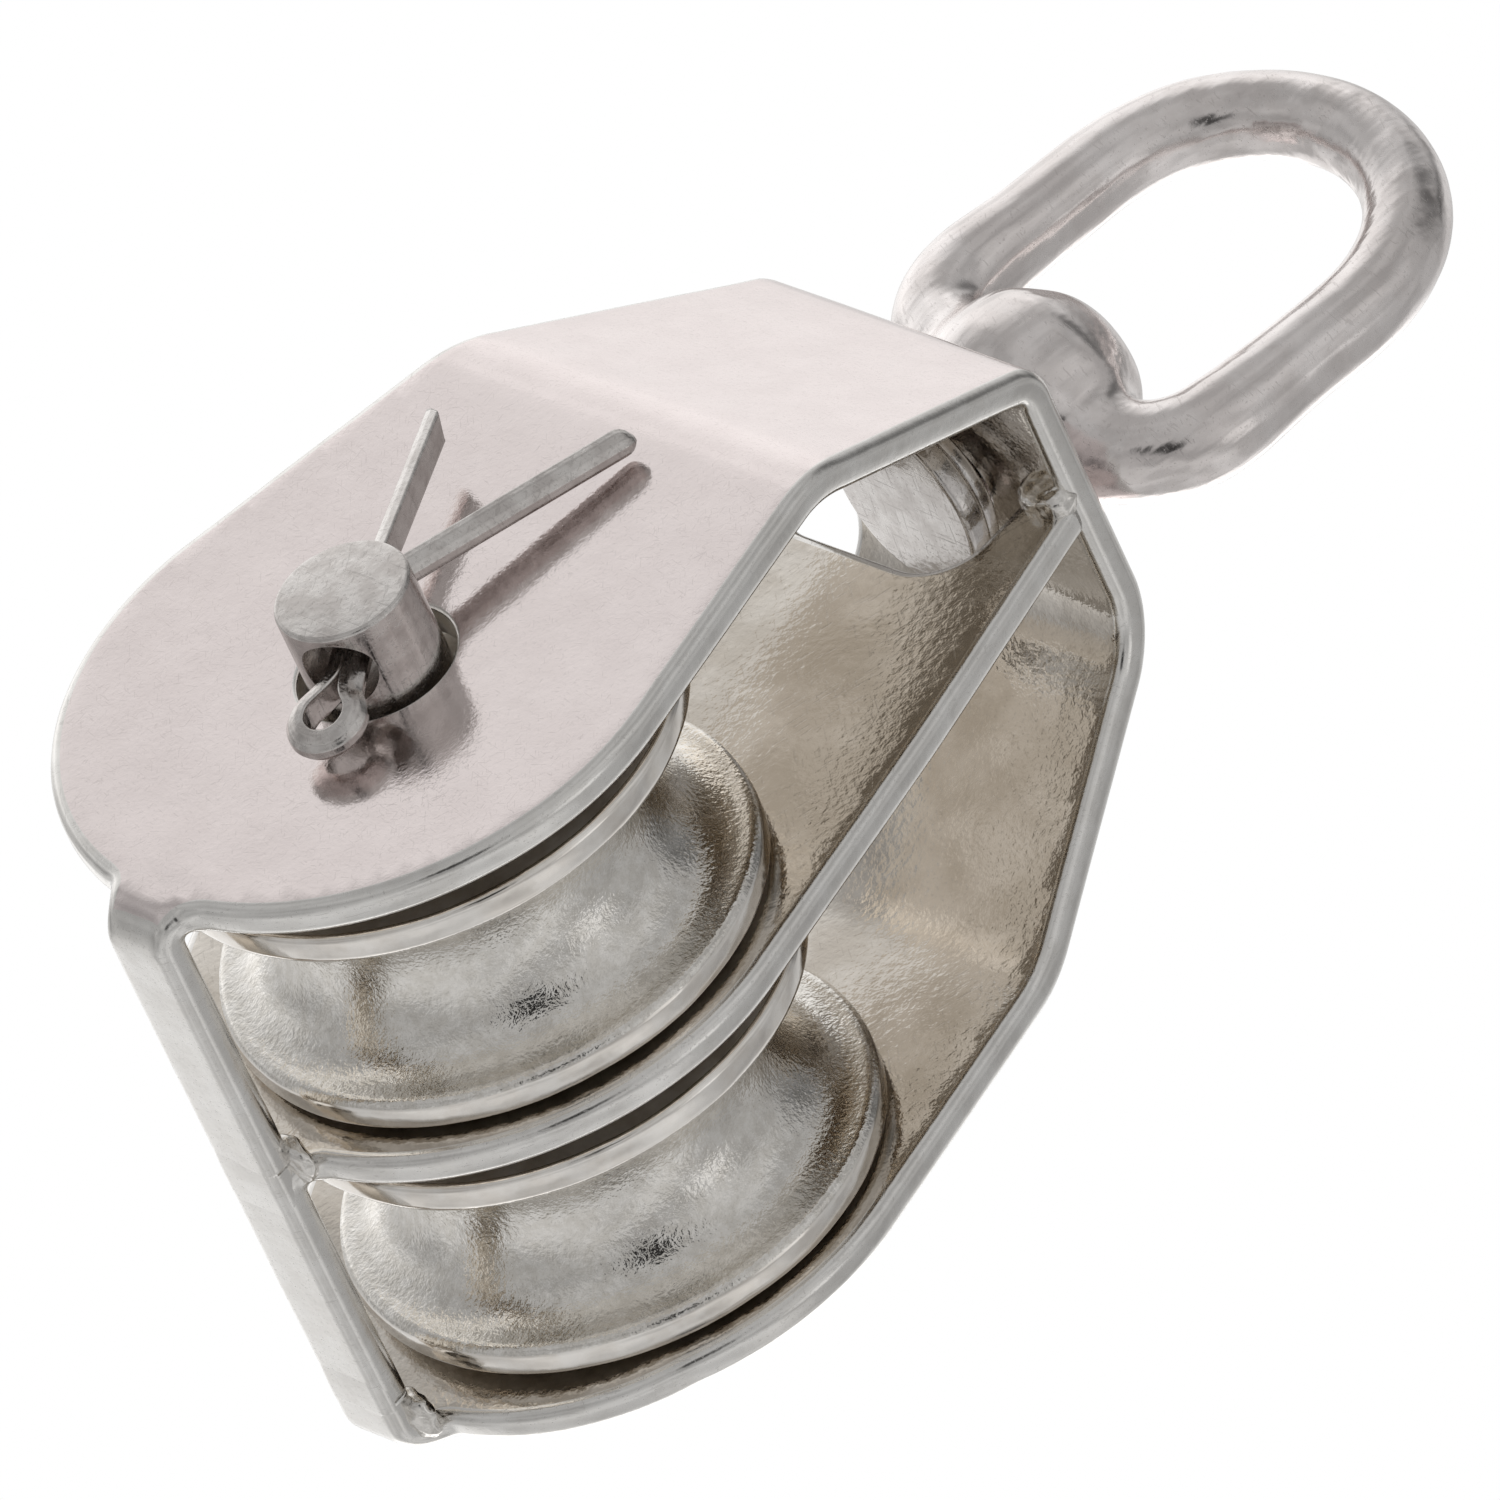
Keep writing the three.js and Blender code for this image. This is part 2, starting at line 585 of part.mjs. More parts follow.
const polished = () => finish("#cfcac6", 0.22, 1.0);
const cast = () => finish("#bdbab4", 0.34, 1.0);
const turnedSteel = () => finish("#a8a29d", 0.36, 1.0);

const block = new THREE.Group();

function add(parent, name, geometry, material) {
  const mesh = new THREE.Mesh(geometry, material);
  mesh.name = name;
  parent.add(mesh);
  return mesh;
}

add(block, "outer_strap", outerStrap(), polished());
add(block, "centre_plate", centrePlate(), polished());

const barInside = BAR_BOTTOM + SHEET;
const bridgeUnderside = BRIDGE_HEIGHT - SHEET;
const frontBead = -SHEET / 2 - JOINT_GAP;
const barBead = add(block, "weld_bar_centre", cornerBead(5.6, 2, -1, 1), cast());
barBead.position.set(0.2, frontBead, barInside + JOINT_GAP);
const rearBead = add(block, "weld_bar_rear", cornerBead(5.6, 1.3, -1, 1), cast());
rearBead.position.set(0.2, REAR_TAB_END + 0.6, barInside + JOINT_GAP);
for (const [name, side] of [["weld_bridge_right", 1], ["weld_bridge_left", -1]]) {
  const bead = add(block, name, cornerBead(3.9, 2.1, -1, -1), cast());
  bead.position.set(side * 11.9, frontBead, bridgeUnderside - JOINT_GAP);
}

add(block, "axle_pin", axlePin(), turnedSteel());
add(block, "split_pin", splitPin(), turnedSteel());

for (const [name, side] of [["front_sheave", -1], ["rear_sheave", 1]]) {
  const wheel = add(block, name, sheave(), cast());
  wheel.position.set(0, (side * SHEAVE_SPACING) / 2, 0).add(SHEAVE_REST);
}

const swivel = new THREE.Group();
const leanAxis = new THREE.Vector3(
  Math.sin(SWIVEL_LEAN) * Math.cos(SWIVEL_LEAN_HEADING),
  Math.sin(SWIVEL_LEAN) * Math.sin(SWIVEL_LEAN_HEADING),
  Math.cos(SWIVEL_LEAN),
);
swivel.quaternion.setFromUnitVectors(new THREE.Vector3(0, 0, 1), leanAxis);
swivel.position.copy(PIVOT);
const eye = add(swivel, "swivel_eye", swivelEye(), cast());
eye.rotation.z = SWIVEL_ANGLE;
add(swivel, "swivel_pin", swivelPin(), turnedSteel());
add(swivel, "swivel_washer", swivelWasher(), turnedSteel());
block.add(swivel);

// The origin is the point inside the crown of the eye that a hook or shackle bears on.
const bearing = leanAxis.clone().multiplyScalar(EYE_TOP - EYE_BAR).add(PIVOT);
block.position.copy(bearing).negate();

const root = new THREE.Group();
root.add(block);
export default root;
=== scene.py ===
import math

import bmesh
import bpy
import numpy as np
from mathutils import Matrix, Vector
from mathutils.geometry import delaunay_2d_cdt


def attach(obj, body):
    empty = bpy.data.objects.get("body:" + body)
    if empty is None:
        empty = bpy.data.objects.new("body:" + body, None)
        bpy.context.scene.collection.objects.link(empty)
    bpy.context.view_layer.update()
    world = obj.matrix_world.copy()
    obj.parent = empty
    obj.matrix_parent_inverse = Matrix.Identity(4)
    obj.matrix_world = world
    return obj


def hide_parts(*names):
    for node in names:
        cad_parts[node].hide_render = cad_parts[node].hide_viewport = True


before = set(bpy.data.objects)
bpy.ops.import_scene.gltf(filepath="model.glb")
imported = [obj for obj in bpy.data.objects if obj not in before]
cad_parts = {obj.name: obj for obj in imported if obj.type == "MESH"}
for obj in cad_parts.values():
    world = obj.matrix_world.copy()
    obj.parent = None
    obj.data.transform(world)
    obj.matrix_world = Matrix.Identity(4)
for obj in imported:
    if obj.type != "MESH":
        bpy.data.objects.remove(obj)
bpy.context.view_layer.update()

# ---------------------------------------------------------------------------------------------
# Double sheave block with a swivel eye. Shapes are worked out in millimetres in the block's own
# axes: the axle lies along Y through zero, -Y points out of the front cheek, +Z to the eye.
# They are laid into the frame, whose zero is the bearing point inside the crown of the eye.
# ---------------------------------------------------------------------------------------------

MM = 0.001
DEG = math.pi / 180
SEED = 71

# Sheet metal of the frame
SHEET = 2.8
SHEET_EDGE = 1.0
SHEET_INWARD = 0.07
SHEET_HOLE_EDGE = 0.3
HALF_DEPTH = 27.0
LOBE_RADIUS = 25.0
LOBE_DROP = 0.8
SHOULDER_HEIGHT = 29.0
SHOULDER_HALF_WIDTH = 19.5
BRIDGE_HEIGHT = 53.8
BRIDGE_HALF_DEPTH = 13.4
BRIDGE_HALF_WIDTH = 14.2
BAR_BOTTOM = -28.9
BAR_HALF_WIDTH = 3.2
BAR_FILLET = 2.6
BAR_BEND = 3.5
BAR_MIDDLE = BAR_BOTTOM + SHEET / 2
BAR_INSIDE = BAR_BOTTOM + SHEET
BAR_FINISH_TOP = BAR_BOTTOM + 1.6
SHOULDER_BEND = 12.0
FRONT_BRIDGE_BEND = 4.2
REAR_BRIDGE_BEND = 9.0
REAR_TAB_END = 22.6
REAR_FLARE = 1.8
REAR_FLARE_TOP = -14.0
JOINT_OVERLAP = 0.02
NOTCH_HALF_WIDTH = 9.5
NOTCH_FLOOR = 40.9
NOTCH_CORNER = 4.5

# Hammer marks where the front tab was bent: centre, reach and displacement
TAB_DENTS = [
    ((4.0, -27.0, -26.4), (1.3, 1.6, 0.7), (-0.25, 0.5, 0.15)),
    ((1.2, -27.2, -25.0), (2.4, 1.5, 0.6), (0.0, 0.22, 0.0)),
]

# How finely the sheet's outline and inside are divided
OUTLINE_SPACING = 0.35
TAPER_SPACING = 0.5
FLAT_SPACING = 1.4
RIM_CLEARANCE = 0.3
EDGE_STEPS = 5
FILLET_STEPS = 16
LOBE_STEPS = 120
HOLE_STEPS = 96
CORNER_PASSES = 60

# Segments round the turned pieces and stations along the ground welds
SHEAVE_SEGMENTS = 168
AXLE_SEGMENTS = 128
SWIVEL_SEGMENTS = 112
CROSS_HOLE_SEGMENTS = 72
BOSS_SEGMENTS = 72
SOCKET_SEGMENTS = 64
GROUND_WELD_STATIONS = 44

# Axle and split pin
AXLE_RADIUS = 5.3
AXLE_HOLE_RADIUS = 6.2
AXLE_PROTRUSION = 7.35
AXLE_HEAD_RADIUS = 7.6
AXLE_HEAD_THICKNESS = 2.1
AXLE_CHAMFER = 0.35
AXLE_RIM_EASE = 0.22
RUNNING_GAP = 0.3
CROSS_HOLE_RADIUS = 2.9
CROSS_HOLE_DEPTH = 30.7
CROSS_HOLE_HALF_LENGTH = 12.0
SPLIT_PIN_ANGLE = 116 * DEG
SPLIT_PIN_OFFSET = 0.4
SPLIT_PIN_THICKNESS = 1.7
SPLIT_PIN_WIDTH = 2.4
SPLIT_PIN_RING = 2.4
SPLIT_PIN_RING_CENTRE = -8.9
SPLIT_PIN_RING_SHIFT = -0.5
SPLIT_PIN_RING_OPENING = 38 * DEG
SPLIT_PIN_NECK = -5.4
SPLIT_PIN_SINK_START = -2.0
SPLIT_PIN_SINK_SLOPE = 0.16
SHORT_LEG_END = 21.9
LONG_LEG_BEND_START = 3.3
LONG_LEG_BEND_RADIUS = 2.0
LONG_LEG_ANGLE = 40.5 * DEG
LONG_LEG_LENGTH = 20.9
LONG_LEG_DROP = 2.2
WIRE_SPACING = 0.3
WIRE_STEPS = 56
WIRE_FLUTES = 14
WIRE_FLUTE_DEPTH = 0.035
CHISEL_STATIONS = 5

# Sheaves
SHEAVE_RADIUS = 21.2
SHEAVE_HALF_WIDTH = 9.8
SHEAVE_SPACING = 25.6
SHEAVE_BORE = 8.0
SHEAVE_REST = (1.9, 1.1, -1.4)
LIP_WIDTH = 2.7
LIP_OUTER_ROUND = 0.6
LIP_GROOVE_ROUND = 0.9
GROOVE_DEPTH = 6.6
SHEAVE_HUB_RADIUS = 10.8
SHEAVE_HUB_HALF_WIDTH = 10.0
WEB_RECESS = 1.6
SHEAVE_RIM_INNER = 17.2
# Body, side of the centre plate and seed
SHEAVES = [("front_sheave", -1, 3), ("rear_sheave", 1, 4)]

# Swivel eye
SWIVEL_LEAN = 6.3 * DEG
SWIVEL_LEAN_HEADING = 48.7 * DEG
SWIVEL_ANGLE = 9.6 * DEG
EYE_BAR = 3.52
EYE_HALF_WIDTH = 13.5
EYE_BASE = 7.15
EYE_TOP = 42.4
EYE_CORNER = 7.2
EYE_CROWN = 14.9
HUB_BASE = 2.35
HUB_RADIUS = 8.6
HUB_TOP = 15.6
SWIVEL_PIN_RADIUS = 3.6
SWIVEL_HOLE_RADIUS = 4.5
SWIVEL_PIN_TOP = 11.0
SWIVEL_WASHER_RADIUS = 7.1
SWIVEL_WASHER_TOP = -2.4
SWIVEL_WASHER_THICKNESS = 1.3
SWIVEL_HEAD_RADIUS = 7.7
SWIVEL_HEAD_TOP = -3.8
SWIVEL_HEAD_THICKNESS = 2.0

# The eye's bar: how much thicker it grows towards the base and at the foot, how far from round
# it is (waves round it, phase, height) and how the forging is blended into one skin
EYE_FLARE = 0.7
EYE_FLARE_REACH = 12.5
EYE_FOOT = 0.1
EYE_OUT_OF_ROUND = [(3, 0.6, 0.012), (7, 0.0, 0.008)]
EYE_UNDERSIZE = 0.02
EYE_VOXEL = 0.34
EYE_BLEND_PASSES = 34
EYE_EASE_PASSES = 6
EYE_BLEND_RADIUS = 13.5
EYE_BLEND_TOP = 20.0
EYE_BLEND_BOTTOM = 3.2
EYE_INWARD = 0.04

# Welds. The ground ones are a thin skin of metal round the bar, which sinks into it at both ends.
BRIDGE_UNDERSIDE = BRIDGE_HEIGHT - SHEET
BEAD_SQUARENESS = 0.8
BEADS = [
    ("weld_bar_centre", (1.8, -SHEET / 2 + 0.4, BAR_INSIDE + 0.1), (2.9, 2.1, 1.0)),
    ("weld_bar_rear", (2.0, REAR_TAB_END + 2.9, BAR_INSIDE - 0.1), (2.8, 2.3, 1.0)),
    ("weld_bridge_right", (11.9, -SHEET / 2 - 0.2, BRIDGE_UNDERSIDE - 0.3), (2.4, 1.8, 1.7)),
    ("weld_bridge_left", (-11.9, -SHEET / 2 - 0.2, BRIDGE_UNDERSIDE - 0.3), (2.4, 1.8, 1.7)),
]
GROUND_WELD_REACH = 4.6
GROUND_WELD_SAG = 0.16
GROUND_WELD_TOE = 0.2
GROUND_WELD_FADE = 0.8
GROUND_WELD_PROUD = 0.03
GROUND_WELD_INWARD = 0.035
# Node, place of the joint along the bar and reach to the rear of it
GROUND_WELDS = [
    ("weld_bar_centre", 0.3, GROUND_WELD_REACH),
    ("weld_bar_rear", REAR_TAB_END, 1.3),
]

# Unevenness of each skin: seed, wavelengths and height. Sheaves and beads have their own seeds.
STRAP_RIPPLE = (1, (26, 14, 8), 0.035)
PLATE_RIPPLE = (2, (24, 12, 7), 0.04)
SHEAVE_SKIN = ((11, 5, 2.6), 0.045)
AXLE_NICKS = (5, (7, 3, 1.4), 0.06)
EYE_DENTS = (7, (9, 5, 3), 0.045)
GROUND_WELD_HOLLOWS = (17, (4.2, 2.1), 0.008)
FIRST_BEAD_SEED = 20
BEAD_LUMPS = ((3.0, 1.5, 0.8), 0.24)

PIVOT = np.array([0.0, 0.0, BRIDGE_HEIGHT - SHEET / 2])
LEAN_AXIS = Vector((
    math.sin(SWIVEL_LEAN) * math.cos(SWIVEL_LEAN_HEADING),
    math.sin(SWIVEL_LEAN) * math.sin(SWIVEL_LEAN_HEADING),
    math.cos(SWIVEL_LEAN),
))
BEARING = PIVOT + np.array(LEAN_AXIS) * (EYE_TOP - EYE_BAR)

# Camera and floor
CAMERA_TARGET = (-0.00177, 0.00132, -0.06618)
CAMERA_AZIMUTH = 47.563
CAMERA_ELEVATION = -24.001
CAMERA_ROLL = 44.253
CAMERA_DISTANCE = 2.122
CAMERA_LENS = 691.3
FLOOR_HEIGHT = -2.4
FLOOR_GLOW = 0.45
FLOOR_SIZE = 40.0
LIGHT_BOUNCES = 16

# The room seen in reflections. Its patches are broad and soft: azimuth and elevation of the
# middle, angle from it where the patch starts to count, angle where it is full, and how much
# light it adds or takes away.
ROOM_COLOUR = (1.0, 0.99, 0.98, 1)
ROOM_LEVEL = 0.44
ROOM_UNEVEN = 0.26
ROOM_UNEVEN_SCALE = 2.6
ROOM_PATCHES = [
    (-118, 26, 80, 42, 0.56),
    (-165, 5, 30, 20, 0.60),
    (150, -38, 60, 40, 0.16),
    (47, -24, 14, 7, -0.42),
    (-60, 84, 36, 16, -0.33),
    (60, 15, 34, 12, 0.10),
    (-155, 55, 38, 22, -0.34),
    (-98, -17, 28, 14, -0.42),
    (95, 10, 14, 9, 0.30),
]


# ---------------------------------------------------------------------------------------------
# Meshes
# ---------------------------------------------------------------------------------------------

def new_object(name, points, faces):
    """A mesh object from points in block millimetres."""
    mesh = bpy.data.meshes.new(name)
    placed = (np.asarray(points, float) - BEARING) * MM
    mesh.from_pydata(placed.tolist(), [], [list(map(int, face)) for face in faces])
    mesh.update()
    made = bpy.data.objects.new(name, mesh)
    bpy.context.scene.collection.objects.link(made)
    return made


def add_piece(name, points, faces, body, slot, nodes, finishes, finish_of=None):
    """A piece riding on a body and standing for CAD nodes."""
    piece = new_object(name, points, faces)
    for finish in finishes:
        piece.data.materials.append(finish)
    if finish_of is not None:
        piece.data.polygons.foreach_set("material_index", np.asarray(finish_of, np.int32))
    tidy_mesh(piece)
    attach(piece, body)
    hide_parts(*nodes)
    return piece


def tidy_mesh(piece):
    """Faces turned outward and shaded smooth."""
    work = bmesh.new()
    work.from_mesh(piece.data)
    bmesh.ops.recalc_face_normals(work, faces=work.faces)
    for face in work.faces:
        face.smooth = True
    work.to_mesh(piece.data)
    work.free()


def cut(piece, points, faces):
    """Takes a closed shape away from a piece."""
    cutter = new_object("cutter", points, faces)
    tidy_mesh(cutter)
    modifier = piece.modifiers.new("cut", "BOOLEAN")
    modifier.operation = "DIFFERENCE"
    modifier.solver = "EXACT"
    modifier.object = cutter
    apply_modifiers(piece)
    bpy.data.objects.remove(cutter)


def apply_modifiers(piece):
    """The piece keeps its evaluated mesh, with no modifier left on it."""
    bpy.context.view_layer.update()
    graph = bpy.context.evaluated_depsgraph_get()
    mesh = bpy.data.meshes.new_from_object(piece.evaluated_get(graph))
    piece.modifiers.clear()
    piece.data = mesh


def wander(seed, wavelengths, height):
    """A smooth seeded function of points, a sum of waves with random headings."""
    source = np.random.default_rng(SEED + seed)
    waves = []
    for wavelength in wavelengths:
        for _ in range(5):
            heading = source.normal(size=3)
            heading *= 2 * math.pi / wavelength / np.linalg.norm(heading)
            waves.append((heading, source.uniform(0, 2 * math.pi), wavelength / max(wavelengths)))

    def at(points):
        points = np.asarray(points, float)
        total = sum(share * np.sin(points @ heading + phase) for heading, phase, share in waves)
        return total * height / math.sqrt(len(waves))

    return at


def displaced(points, faces, field):
    """Points moved along the surface's own normals by a field."""
    points = np.asarray(points, float)
    normals = np.zeros_like(points)
    for size in {len(face) for face in faces}:
        group = np.array([face for face in faces if len(face) == size])
        a, b, c = (points[group[:, k]] for k in (0, 1, size - 1))
        face_normal = np.cross(b - a, c - a)
        for k in range(size):
            np.add.at(normals, group[:, k], face_normal)
    normals /= np.maximum(np.linalg.norm(normals, axis=1, keepdims=True), 1e-12)
    return points + normals * field(points)[:, None]


def smooth_share(x):
    """From 0 to 1 with level ends."""
    x = min(max(x, 0.0), 1.0)
    return x * x * (3 - 2 * x)


# ---------------------------------------------------------------------------------------------
# Profiles, turned and lofted shapes
# ---------------------------------------------------------------------------------------------

def corner_turn(before, corner, after):
    """Unit headings into and out of a corner, and the angle between them."""
    heading_in = (corner - before) / np.linalg.norm(corner - before)
    heading_out = (after - corner) / np.linalg.norm(after - corner)
    crossed = heading_in[0] * heading_out[1] - heading_in[1] * heading_out[0]
    return heading_in, heading_out, math.atan2(crossed, heading_in @ heading_out)


def rounded_profile(corners, steps=6):
    """Points [a, b] through corners (a, b, radius), each corner rounded by its radius."""
    points = []
    for i, (a, b, radius) in enumerate(corners):
        here = np.array([a, b])
        if radius == 0 or i in (0, len(corners) - 1):
            points.append(here)
            continue
        last, following = (np.array(corners[k][:2]) for k in (i - 1, i + 1))
        before, _, turn = corner_turn(last, here, following)
        reach = radius * math.tan(abs(turn) / 2)
        start = here - before * reach
        centre = start + np.array([-before[1], before[0]]) * math.copysign(radius, turn)
        arm = start - centre
        for k in range(steps + 1):
            angle = turn * k / steps
            points.append(centre + np.array([
                arm[0] * math.cos(angle) - arm[1] * math.sin(angle),
                arm[0] * math.sin(angle) + arm[1] * math.cos(angle),
            ]))
    return points


def turned(profile, segments, axis="y"):
    """Solid of revolution from [radius, height] points, closed on itself or at the axis."""
    on_axis = profile[0][0] < 1e-9
    angles = np.arange(segments) * 2 * math.pi / segments
    points, rings = [], []
    for radius, height in profile:
        rings.append(len(points))
        if radius < 1e-9:
            points.append((0, 0, height))
            continue
        points.extend(zip(radius * np.cos(angles), radius * np.sin(angles), np.full(segments, height)))
    faces = []
    count = len(profile) if not on_axis else len(profile) - 1
    for i in range(count):
        j = (i + 1) % len(profile)
        for k in range(segments):
            n = (k + 1) % segments
            low = [rings[i]] if profile[i][0] < 1e-9 else [rings[i] + k, rings[i] + n]
            high = [rings[j]] if profile[j][0] < 1e-9 else [rings[j] + n, rings[j] + k]
            faces.append(low + high)
    points = np.array(points, float)
    if axis == "y":
        points = points[:, [1, 2, 0]]
    return points, faces


def lofted(rings, closed=False):
    """Skin over rings of points, with flat ends unless the last ring meets the first."""
    count = len(rings[0])
    points = np.concatenate(rings)
    faces = []
    total = len(rings)
    for i in range(total if closed else total - 1):
        j = (i + 1) % total
        for k in range(count):
            n = (k + 1) % count
            faces.append([i * count + k, i * count + n, j * count + n, j * count + k])
    if not closed:
        faces.append(list(range(count)))
        faces.append([(total - 1) * count + k for k in reversed(range(count))])
    return points, faces


def headings(line, closed=False):
    """Unit headings along a line of points."""
    line = np.asarray(line, float)
    if closed:
        step = np.roll(line, -1, axis=0) - np.roll(line, 1, axis=0)
    else:
        step = np.gradient(line, axis=0)
    return step / np.linalg.norm(step, axis=1, keepdims=True)


def resampled(line, spacing):
    """The same line with points at an even spacing."""
    line = np.asarray(line, float)
    length = np.concatenate([[0], np.cumsum(np.linalg.norm(np.diff(line, axis=0), axis=1))])
    stations = np.linspace(0, length[-1], max(2, round(length[-1] / spacing) + 1))
    return np.stack([np.interp(stations, length, line[:, k]) for k in range(line.shape[1])], axis=1)


def softened(line, passes):
    """The same line with its corners eased, its ends kept."""
    line = np.array(line, float)
    for _ in range(passes):
        line[1:-1] = 0.25 * line[:-2] + 0.5 * line[1:-1] + 0.25 * line[2:]
    return line


def softened_loop(loop, passes):
    """The same closed line with its corners eased."""
    for _ in range(passes):
        loop = 0.25 * np.roll(loop, 1, axis=0) + 0.5 * loop + 0.25 * np.roll(loop, -1, axis=0)
    return loop


# ---------------------------------------------------------------------------------------------
# Bent sheet
# ---------------------------------------------------------------------------------------------

class FilletedPath:
    """Lines joined by arcs in the YZ plane, the middle surface of a bent sheet."""

    def __init__(self, corners, radii):
        corners = [np.array(corner, float) for corner in corners]
        self.parts = []
        self.length = 0.0
        self.start = corners[0]
        for i, radius in enumerate(radii):
            corner = corners[i + 1]
            before, after, turn = corner_turn(corners[i], corner, corners[i + 2])
            reach = radius * math.tan(abs(turn) / 2)
            self.add_line(corner - before * reach)
            side = math.copysign(1, turn)
            centre = self.start + np.array([-before[1], before[0]]) * side * radius
            span = radius * abs(turn)
            self.parts.append({
                "arc": True, "from": self.length, "span": span, "centre": centre,
                "radius": radius, "side": side, "heading": before,
            })
            self.length += span
            self.start = corner + after * reach
        self.add_line(corners[-1])

    def add_line(self, end):
        span = np.linalg.norm(end - self.start)
        heading = (end - self.start) / span
        self.parts.append({
            "arc": False, "from": self.length, "span": span, "start": self.start, "heading": heading,
        })
        self.length += span
        self.start = end

    def arcs(self):
        return [part for part in self.parts if part["arc"]]

    def at(self, s):
        """Points and headings at lengths along the path."""
        s = np.clip(np.asarray(s, float), 0, self.length)
        point = np.zeros((len(s), 2))
        heading = np.zeros((len(s), 2))
        for part in self.parts:
            run = s - part["from"]
            here = (run >= -1e-9) & (run <= part["span"] + 1e-9)
            run = run[here]
            if part["arc"]:
                angle = part["side"] * run / part["radius"]
                hx, hy = part["heading"]
                turned_heading = np.stack([
                    hx * np.cos(angle) - hy * np.sin(angle),
                    hx * np.sin(angle) + hy * np.cos(angle),
                ], axis=1)
                arm = np.stack([turned_heading[:, 1], -turned_heading[:, 0]], axis=1)
                point[here] = part["centre"] + arm * part["side"] * part["radius"]
                heading[here] = turned_heading
            else:
                point[here] = part["start"] + run[:, None] * part["heading"]
                heading[here] = part["heading"]
        return point, heading


def lobe_outline(lobe, shoulder):
    """[length, half-width] from the narrow bar, round the lobe and up to the shoulder."""
    from_bar = BAR_HALF_WIDTH + BAR_FILLET
    reach = LOBE_RADIUS + BAR_FILLET
    run = math.sqrt(reach * reach - from_bar * from_bar)
    fillet = np.linspace(-math.pi / 2, -math.atan2(from_bar, run), FILLET_STEPS)
    points = [
        (lobe - run + BAR_FILLET * math.cos(a), from_bar + BAR_FILLET * math.sin(a)) for a in fillet
    ]
    distance = math.hypot(shoulder - lobe, SHOULDER_HALF_WIDTH)
    tangent = math.atan2(SHOULDER_HALF_WIDTH, shoulder - lobe) + math.acos(LOBE_RADIUS / distance)
    first = math.pi - math.asin(from_bar / reach)
    for a in np.linspace(first, tangent, LOBE_STEPS)[1:]:
        points.append((lobe + LOBE_RADIUS * math.cos(a), LOBE_RADIUS * math.sin(a)))
    return points


def inside_loops(points, loops):
    """Which points lie inside the first loop and outside the others, by crossings."""
    inside = np.zeros(len(points), bool)
    x, y = points[:, 0][:, None], points[:, 1][:, None]
    for loop in loops:
        a, b = loop, np.roll(loop, -1, axis=0)
        spans = (a[:, 1] > y) != (b[:, 1] > y)
        rise = np.where(np.abs(b[:, 1] - a[:, 1]) < 1e-12, 1e-12, b[:, 1] - a[:, 1])
        crosses = spans & (x < (b[:, 0] - a[:, 0]) * (y - a[:, 1]) / rise + a[:, 0])
        inside ^= (crosses.sum(axis=1) % 2).astype(bool)
    return inside


